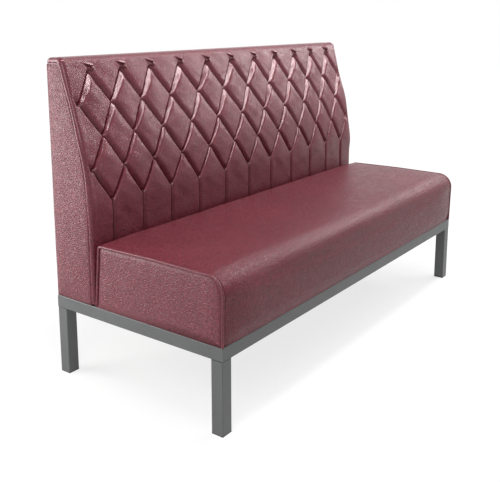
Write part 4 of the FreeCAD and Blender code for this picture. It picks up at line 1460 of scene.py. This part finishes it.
def seat_end_relief(places, depth, seam):
    """x of a seat end panel, full in the middle and rolled in at the welt, the shade painted along the welt
    and how taut it is.
    """
    near = np.minimum(seam, places[:, 1] - SEAT_LOW.z + PANEL_START)
    full = bpy.context.scene.booth.seat.panel_fullness * eased(near, 0.05, 2.2)
    rolled = SEAT_ROLL * (1 - np.clip(near / 0.0085, 0, 1)) ** 1.6
    ripple = 0.00035 * waves(places[:, 0], places[:, 1], 61, 0.08)
    x = SEAT_PANEL_HIGH.x - 0.0008 + full - rolled + ripple
    # Painted shade: the leather darkens in the groove along the welt.
    return x, np.exp(-(seam / 0.0045) ** 2), 0.6 * (1 - smooth((seam - 0.004) / 0.010))


class BOOTH_OT_seat_ends(BoothOperator, bpy.types.Operator):
    """Make the padded end panels of the seat, inside the welt"""

    bl_idname = "booth.seat_ends"
    bl_label = "Seat End Panels"

    def execute(self, context):
        seat = context.scene.booth.seat
        run = seat_run(seat, seat.end_draw)
        inset = 2 * seat.welt_radius - seat.welt_proud
        along = np.linspace(*part_above(run, SEAT_LOW.z + PANEL_START), 320)
        rings = []
        for depth in SEAT_RINGS:
            y, z, _, _ = on_run(run, along, -inset - depth)
            rings.append(np.column_stack([y, z])[z > SEAT_LOW.z + 0.004 + depth / 2])
        edge, foot = rings[0], SEAT_LOW.z + 0.0003
        border = np.concatenate([edge, [[edge[-1, 0], foot], [edge[0, 0], foot]]])
        for side, sign in SIDES:
            end_panel(f"seat_{side}_end", f"seat_{side}_panel", sign, edge, border, rings[1:], 0.010,
                      SEAT_PANEL_LOW.x - 0.0005, seat_end_relief)
        return {"FINISHED"}


# Foams: the node, the piece's name, the size of the softening grid and how much smaller it is all round.
FOAMS = (
    ("seat_foam", "seat_foam_block", 0.010, 0.0042),
    ("back_foam", "back_foam_slab", 0.010, 0.0010),
    ("seat_left_pad", "seat_left_foam", 0.004, 0.0032),
    ("seat_right_pad", "seat_right_foam", 0.004, 0.0032),
    ("back_left_pad", "back_left_foam", 0.004, 0.0010),
    ("back_right_pad", "back_right_foam", 0.004, 0.0010),
)


class BOOTH_OT_foams(BoothOperator, bpy.types.Operator):
    """Cut the foam blocks that lie under the leather, with soft corners"""

    bl_idname = "booth.foams"
    bl_label = "Foams"

    def execute(self, context):
        for node, name, voxel, inset in FOAMS:
            piece = softened(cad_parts[node], name, voxel, inset)
            finish_piece(piece, "foam", node)
        return {"FINISHED"}


def softened(node, name, voxel, inset):
    """A closed copy of a node's form with soft corners, a little smaller all round."""
    mesh = node.data.copy()
    mesh.name = name
    piece = placed(name, mesh)
    weld_closed(piece)
    remesh = piece.modifiers.new("remesh", "REMESH")
    remesh.mode = "VOXEL"
    remesh.voxel_size = voxel
    graph = bpy.context.evaluated_depsgraph_get()
    made = bpy.data.meshes.new_from_object(piece.evaluated_get(graph), depsgraph=graph)
    piece.modifiers.clear()
    piece.data = made
    shaped = bmesh.new()
    shaped.from_mesh(made)
    for _ in range(2):
        bmesh.ops.smooth_vert(shaped, verts=shaped.verts, factor=0.5, use_axis_x=True, use_axis_y=True,
                              use_axis_z=True)
    shaped.normal_update()
    for vert in shaped.verts:
        vert.co -= vert.normal * inset
    shaped.to_mesh(made)
    shaped.free()
    made.name = name
    made.materials.clear()
    made.materials.append(finish("open_cell_foam"))
    made.polygons.foreach_set("use_smooth", [True] * len(made.polygons))
    return piece


class BOOTH_OT_seat_welts(BoothOperator, bpy.types.Operator):
    """Sweep the leather welts round the seat's ends"""

    bl_idname = "booth.seat_welts"
    bl_label = "Seat Welts"

    def execute(self, context):
        seat = context.scene.booth.seat
        run = seat_run(seat, seat.end_draw)
        along = np.linspace(*part_above(run, SEAT_LOW.z + WELT_START), 420)
        y, z, _, _ = on_run(run, along, seat.welt_proud - seat.welt_radius)
        foot = SEAT_LOW.z + HAIR
        y = np.concatenate([[y[0]], y, [y[-1]]])
        z = np.concatenate([[foot], z, [foot]])
        tree = tree_named("welt_along_an_edge", welt_tree)
        values = {"Radius": seat.welt_radius, "Sides": 20, "Step": 0.004, "Material": finish("burgundy_welt")}
        for side, sign in SIDES:
            line = np.column_stack([np.full_like(y, sign * (PIPING_HIGH.x - seat.welt_radius)), y, z])
            piece = grown_on(f"seat_{side}_welt", [line], tree, values)
            weld_closed(piece)
            finish_piece(piece, "piping_leather", f"seat_{side}_piping")
        return {"FINISHED"}


def weld_closed(piece):
    """Merges doubles and points the faces outwards."""
    shaped = bmesh.new()
    shaped.from_mesh(piece.data)
    bmesh.ops.remove_doubles(shaped, verts=shaped.verts, dist=1e-6)
    bmesh.ops.recalc_face_normals(shaped, faces=shaped.faces)
    shaped.to_mesh(piece.data)
    shaped.free()


class BOOTH_OT_stitching(BoothOperator, bpy.types.Operator):
    """Sew the two rows of stitches along each end seam of the back and the row along its rear seam"""

    bl_idname = "booth.stitching"
    bl_label = "Stitching"

    def execute(self, context):
        booth = context.scene.booth
        back, stitch = booth.back, booth.stitch
        run = back_run(back)
        start = run.along[np.argmax(run.z >= COVER_LOW.z + 0.012)]
        along = np.linspace(start, run.along[-1] - 0.030, 500)
        tree = tree_named("bars_along_a_line", row_tree)
        values = {"Pitch": stitch.pitch, "Length": stitch.stitch, "Thickness": stitch.thread, "Seed": 3,
                  "Material": finish("burgundy_thread")}
        for side, sign in SIDES:
            lines = []
            for offset, lift in STITCH_ROWS:
                y, z, _, _ = on_run(run, along, -(back.seam_inset + offset))
                lines.append(np.column_stack([np.full_like(y, sign * (COVER_HIGH.x + lift)), y, z]))
            piece = grown_on(f"back_{side}_stitches", lines, tree, values)
            finish_piece(piece, "quilted_leather")
        x = np.linspace(REAR_LOW.x + 0.01, REAR_HIGH.x - 0.01, 300)
        ones = np.ones_like(x)
        row = np.column_stack([x, ones * (REAR_HIGH.y + 0.0001), ones * (REAR_HIGH.z - 0.0075)])
        piece = grown_on("back_rear_stitches", [row], tree, values)
        finish_piece(piece, "quilted_leather")
        return {"FINISHED"}


# The dust cloth: how far it sags in the open bays and its thickness, then the room that it keeps from the
# rails, the width over which it leaves them, and how far inside its edges the staples lie.
CLOTH_SAG = 0.004
CLOTH_THICKNESS = 0.0006
RAIL_GAP = 0.02
RAIL_FADE = 0.06
STAPLE_MARGIN = 0.009


class BOOTH_OT_underside(BoothOperator, bpy.types.Operator):
    """Stretch and staple the dust cloth under the seat"""

    bl_idname = "booth.underside"
    bl_label = "Underside"

    def execute(self, context):
        stitch = context.scene.booth.stitch
        xs = np.linspace(CLOTH_LOW.x, CLOTH_HIGH.x, 70)
        ys = np.linspace(CLOTH_LOW.y, CLOTH_HIGH.y, 24)
        x, y = np.meshgrid(xs, ys)
        x, y = x.ravel(), y.ravel()
        to_side = np.minimum(x - CLOTH_LOW.x, CLOTH_HIGH.x - x)
        edge = np.minimum(to_side, np.minimum(y - CLOTH_LOW.y, CLOTH_HIGH.y - y))
        sag = smooth(edge / 0.18) * CLOTH_SAG * (1 + 0.3 * waves(x, y, 71, 0.3))
        low = CLOTH_LOW.z + HAIR - sag * rail_room(x, y)
        verts = np.concatenate([np.column_stack([x, y, low]), np.column_stack([x, y, low + CLOTH_THICKNESS])])
        cloth = mesh_piece("seat_dust_cloth", verts, two_sided(len(ys), len(xs)), finish("black_dust_cloth"))
        finish_piece(cloth, "dust_cloth", "seat_dust_cover")
        values = {"Pitch": stitch.staple_pitch, "Length": stitch.staple, "Thickness": stitch.staple_wire,
                  "Seed": 5, "Material": finish("zinc_plate")}
        tree = tree_named("bars_along_a_line", row_tree)
        staples = grown_on("seat_staples", staple_lines(stitch), tree, values)
        finish_piece(staples, "fixing_steel")
        return {"FINISHED"}


def staple_lines(stitch):
    """Straight lines for the staples near the cloth's edges, broken where a rail lies under them."""
    low_x, high_x = CLOTH_LOW.x + STAPLE_MARGIN, CLOTH_HIGH.x - STAPLE_MARGIN
    low_y, high_y = CLOTH_LOW.y + STAPLE_MARGIN, CLOTH_HIGH.y - STAPLE_MARGIN
    sides = [((low_x, y), (high_x, y)) for y in (low_y, high_y)]
    sides += [((x, low_y), (x, high_y)) for x in (low_x, high_x)]
    lines = []
    for start, end in sides:
        start, end = np.array(start), np.array(end)
        shares = np.linspace(0.02, 0.98, 600)
        places = start + shares[:, None] * (end - start)
        free = rail_room(places[:, 0], places[:, 1]) > 0
        for first in np.flatnonzero(free & ~np.concatenate([[False], free[:-1]])):
            last = first + np.argmin(np.append(free[first:], False)) - 1
            if np.linalg.norm(places[last] - places[first]) > stitch.staple_pitch:
                ends = np.stack([places[first], places[last]])
                lines.append(np.column_stack([ends, np.full(2, CLOTH_LOW.z)]))
    return lines


def rail_room(x, y):
    """1 in the open bays of the base and 0 over its rails, where the cloth lies flat."""
    free = np.ones_like(x)
    for node in ("left_cross_rail", "right_cross_rail", "left_rail", "right_rail", "front_rail"):
        low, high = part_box(node)
        out_x = np.maximum(np.maximum(low.x - x, x - high.x), 0)
        out_y = np.maximum(np.maximum(low.y - y, y - high.y), 0)
        free = free * smooth((np.hypot(out_x, out_y) - RAIL_GAP) / RAIL_FADE)
    return free


REPLACED = ("back_quilted_cover", "back_left_panel", "back_right_panel", "back_rear_cover", "seat_cover",
            "seat_left_panel", "seat_right_panel", "seat_left_piping", "seat_right_piping", "seat_dust_cover",
            "seat_foam", "back_foam", "seat_left_pad", "seat_right_pad", "back_left_pad", "back_right_pad")
# The first line whose endings fit a node's name holds.
CAD_FINISHES = (
    (("back_top_rail", "back_base_board", "_batten"), "planed_softwood"),
    (("_leg", "_rail", "mounting_plates"), "dark_powder_coat"),
    (("_glide",), "black_moulded_plastic"),
    (("_bolts", "_washers", "_insert_nuts"), "zinc_plate"),
    (("_board", "_rib", "_deck", "_divider"), "birch_plywood"),
)


def cad_finish(name):
    """The material of a node that stays as the CAD has it."""
    for endings, material in CAD_FINISHES:
        if name.endswith(endings):
            return finish(material)
    raise RuntimeError(f"no finish for {name}")


class BOOTH_OT_base_and_inside(BoothOperator, bpy.types.Operator):
    """Finish the steel base, the glides, the fixings and what lies inside the upholstery"""

    bl_idname = "booth.base_and_inside"
    bl_label = "Base and Inside"

    def execute(self, context):
        for name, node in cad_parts.items():
            if name in REPLACED:
                continue
            material = cad_finish(name)
            for held in node.material_slots:
                held.link = "OBJECT"
                held.material = material
        return {"FINISHED"}


# Lamps: name, place, the place that it points at, width, height and the setting that holds its power.
LAMPS = (
    ("key_lamp", (-0.25, -0.44, 2.9), (-0.15, 0.24, 0.8), 2.95, 0.24, "key"),
    ("side_lamp", (-1.78, 1.52, 0.95), (-0.8, 0.2, 0.85), 1.3, 1.5, "side"),
    ("left_lamp", (-2.3, -0.9, 1.5), (-0.8, -0.1, 0.4), 0.8, 0.8, "left"),
    ("strip_lamp", (2.08, -0.76, 2.9), (-0.15, 0.24, 0.8), 1.8, 0.22, "strip"),
    ("rim_lamp", (2.7, -1.1, 1.9), (0.3, -0.1, 0.4), 2.0, 0.32, "rim"),
)
# Half the floor's width, how far the camera sees and the width of its frame in millimetres.
FLOOR_REACH = 14.0
VIEW_REACH = 60.0
SENSOR_WIDTH = 36.0


class BOOTH_OT_stage(BoothOperator, bpy.types.Operator):
    """Set the floor, the lamps, the sky and the camera"""

    bl_idname = "booth.stage"
    bl_label = "Stage"

    def execute(self, context):
        stage = context.scene.booth.stage
        make_floor(stage)
        make_sky(stage)
        for name, place, target, width, height, power in LAMPS:
            lamp(name, place, target, width, height, getattr(stage, power))
        make_camera(stage)
        context.scene.view_settings.view_transform = "Standard"
        return {"FINISHED"}


def make_floor(stage):
    """A wide pale floor that shows white to the camera and keeps a soft shadow."""
    mesh = bpy.data.meshes.new("floor")
    corners = [(-1, -1), (1, -1), (1, 1), (-1, 1)]
    mesh.from_pydata([(x * FLOOR_REACH, y * FLOOR_REACH, 0) for x, y in corners], [], [(0, 1, 2, 3)])
    material = bpy.data.materials.new("pale_floor")
    nodes = cleared_nodes(material)
    matt = nodes.add("ShaderNodeBsdfDiffuse", {"Color": colour4(stage.floor)})
    glow = nodes.add("ShaderNodeEmission", {"Color": (1, 1, 1, 1), "Strength": 1.06})
    seen = seen_directly(nodes)
    away = nodes.add("ShaderNodeVectorMath", {0: nodes.place()}, operation="LENGTH")
    whiteness = nodes.remap(away.outputs["Value"], 1.3, 3.2, stage.glow, 1.0)
    mixed = nodes.add("ShaderNodeMixShader", {0: nodes.math("MULTIPLY", seen, whiteness), 1: matt.outputs[0],
                                              2: glow.outputs[0]})
    nodes.add("ShaderNodeOutputMaterial", {0: mixed.outputs[0]})
    mesh.materials.append(material)
    floor = placed("floor", mesh)


def seen_directly(nodes):
    """1 for rays of the camera, of gloss and through glass, 0 for the rest."""
    path = nodes.add("ShaderNodeLightPath")
    seen = nodes.math("MAXIMUM", path.outputs["Is Camera Ray"], path.outputs["Is Glossy Ray"])
    return nodes.math("MAXIMUM", seen, path.outputs["Is Transmission Ray"])


def make_sky(stage):
    """Even light from all round: full white where it is seen, weaker where it lights the bench."""
    world = bpy.data.worlds.new("even_sky")
    nodes = cleared_nodes(world)
    strength = nodes.remap(seen_directly(nodes), 0.0, 1.0, stage.sky, 1.0)
    light = nodes.add("ShaderNodeBackground", {"Color": (1, 1, 1, 1), "Strength": strength})
    nodes.add("ShaderNodeOutputWorld", {0: light.outputs[0]})
    bpy.context.scene.world = world


def lamp(name, place, target, width, height, power):
    """A flat lamp at a place, turned to its target."""
    data = bpy.data.lights.new(name, "AREA")
    data.shape = "RECTANGLE"
    data.size, data.size_y = width, height
    data.energy = power
    body = placed(name, data)
    body.location = place
    body.rotation_mode = "QUATERNION"
    body.rotation_quaternion = (Vector(target) - Vector(place)).to_track_quat("-Z", "Y")
    body.visible_camera = False


def make_camera(stage):
    """The camera at the photo's place, level from side to side."""
    data = bpy.data.cameras.new("photo_camera")
    data.sensor_width = SENSOR_WIDTH
    data.lens = stage.camera_lens
    data.shift_y = stage.camera_shift
    data.clip_end = VIEW_REACH
    camera = placed("photo_camera", data)
    camera.location = stage.camera_place
    camera.rotation_euler = (math.pi / 2 - stage.camera_dip, 0.0, -stage.camera_turn)
    bpy.context.scene.camera = camera


class BOOTH_PT_bench(bpy.types.Panel):
    """Lists the pieces of the bench"""

    bl_idname = "BOOTH_PT_bench"
    bl_label = "Booth Bench"
    bl_space_type = "VIEW_3D"
    bl_region_type = "UI"
    bl_category = "Booth Bench"

    def draw(self, context):
        for operator in OPERATORS:
            self.layout.operator(operator.bl_idname)
        for group in BoothSettings.__annotations__:
            box = self.layout.box()
            box.label(text=group.title())
            settings = getattr(context.scene.booth, group)
            for key in type(settings).__annotations__:
                box.prop(settings, key)


OPERATORS = (
    BOOTH_OT_stage,
    BOOTH_OT_quilted_back,
    BOOTH_OT_back_ends,
    BOOTH_OT_back_rear,
    BOOTH_OT_seat_cushion,
    BOOTH_OT_seat_ends,
    BOOTH_OT_foams,
    BOOTH_OT_seat_welts,
    BOOTH_OT_stitching,
    BOOTH_OT_underside,
    BOOTH_OT_base_and_inside,
)
GROUPS = (
    BoothBackSizes,
    BoothQuiltSizes,
    BoothSeatSizes,
    BoothLeatherFinish,
    BoothStitchSizes,
    BoothSteelFinish,
    BoothStage,
    BoothSettings,
)
CLASSES = GROUPS + OPERATORS + (BOOTH_PT_bench,)


def register():
    """Makes the classes and the settings known to Blender."""
    for each in CLASSES:
        bpy.utils.register_class(each)
    bpy.types.Scene.booth = PointerProperty(type=BoothSettings)


def unregister():
    """Takes them away again."""
    del bpy.types.Scene.booth
    for each in reversed(CLASSES):
        bpy.utils.unregister_class(each)


def main():
    """Makes the bench and its stage."""
    register()
    for operator in OPERATORS:
        group, name = operator.bl_idname.split(".")
        getattr(getattr(bpy.ops, group), name)()


if __name__ == "__main__":
    main()
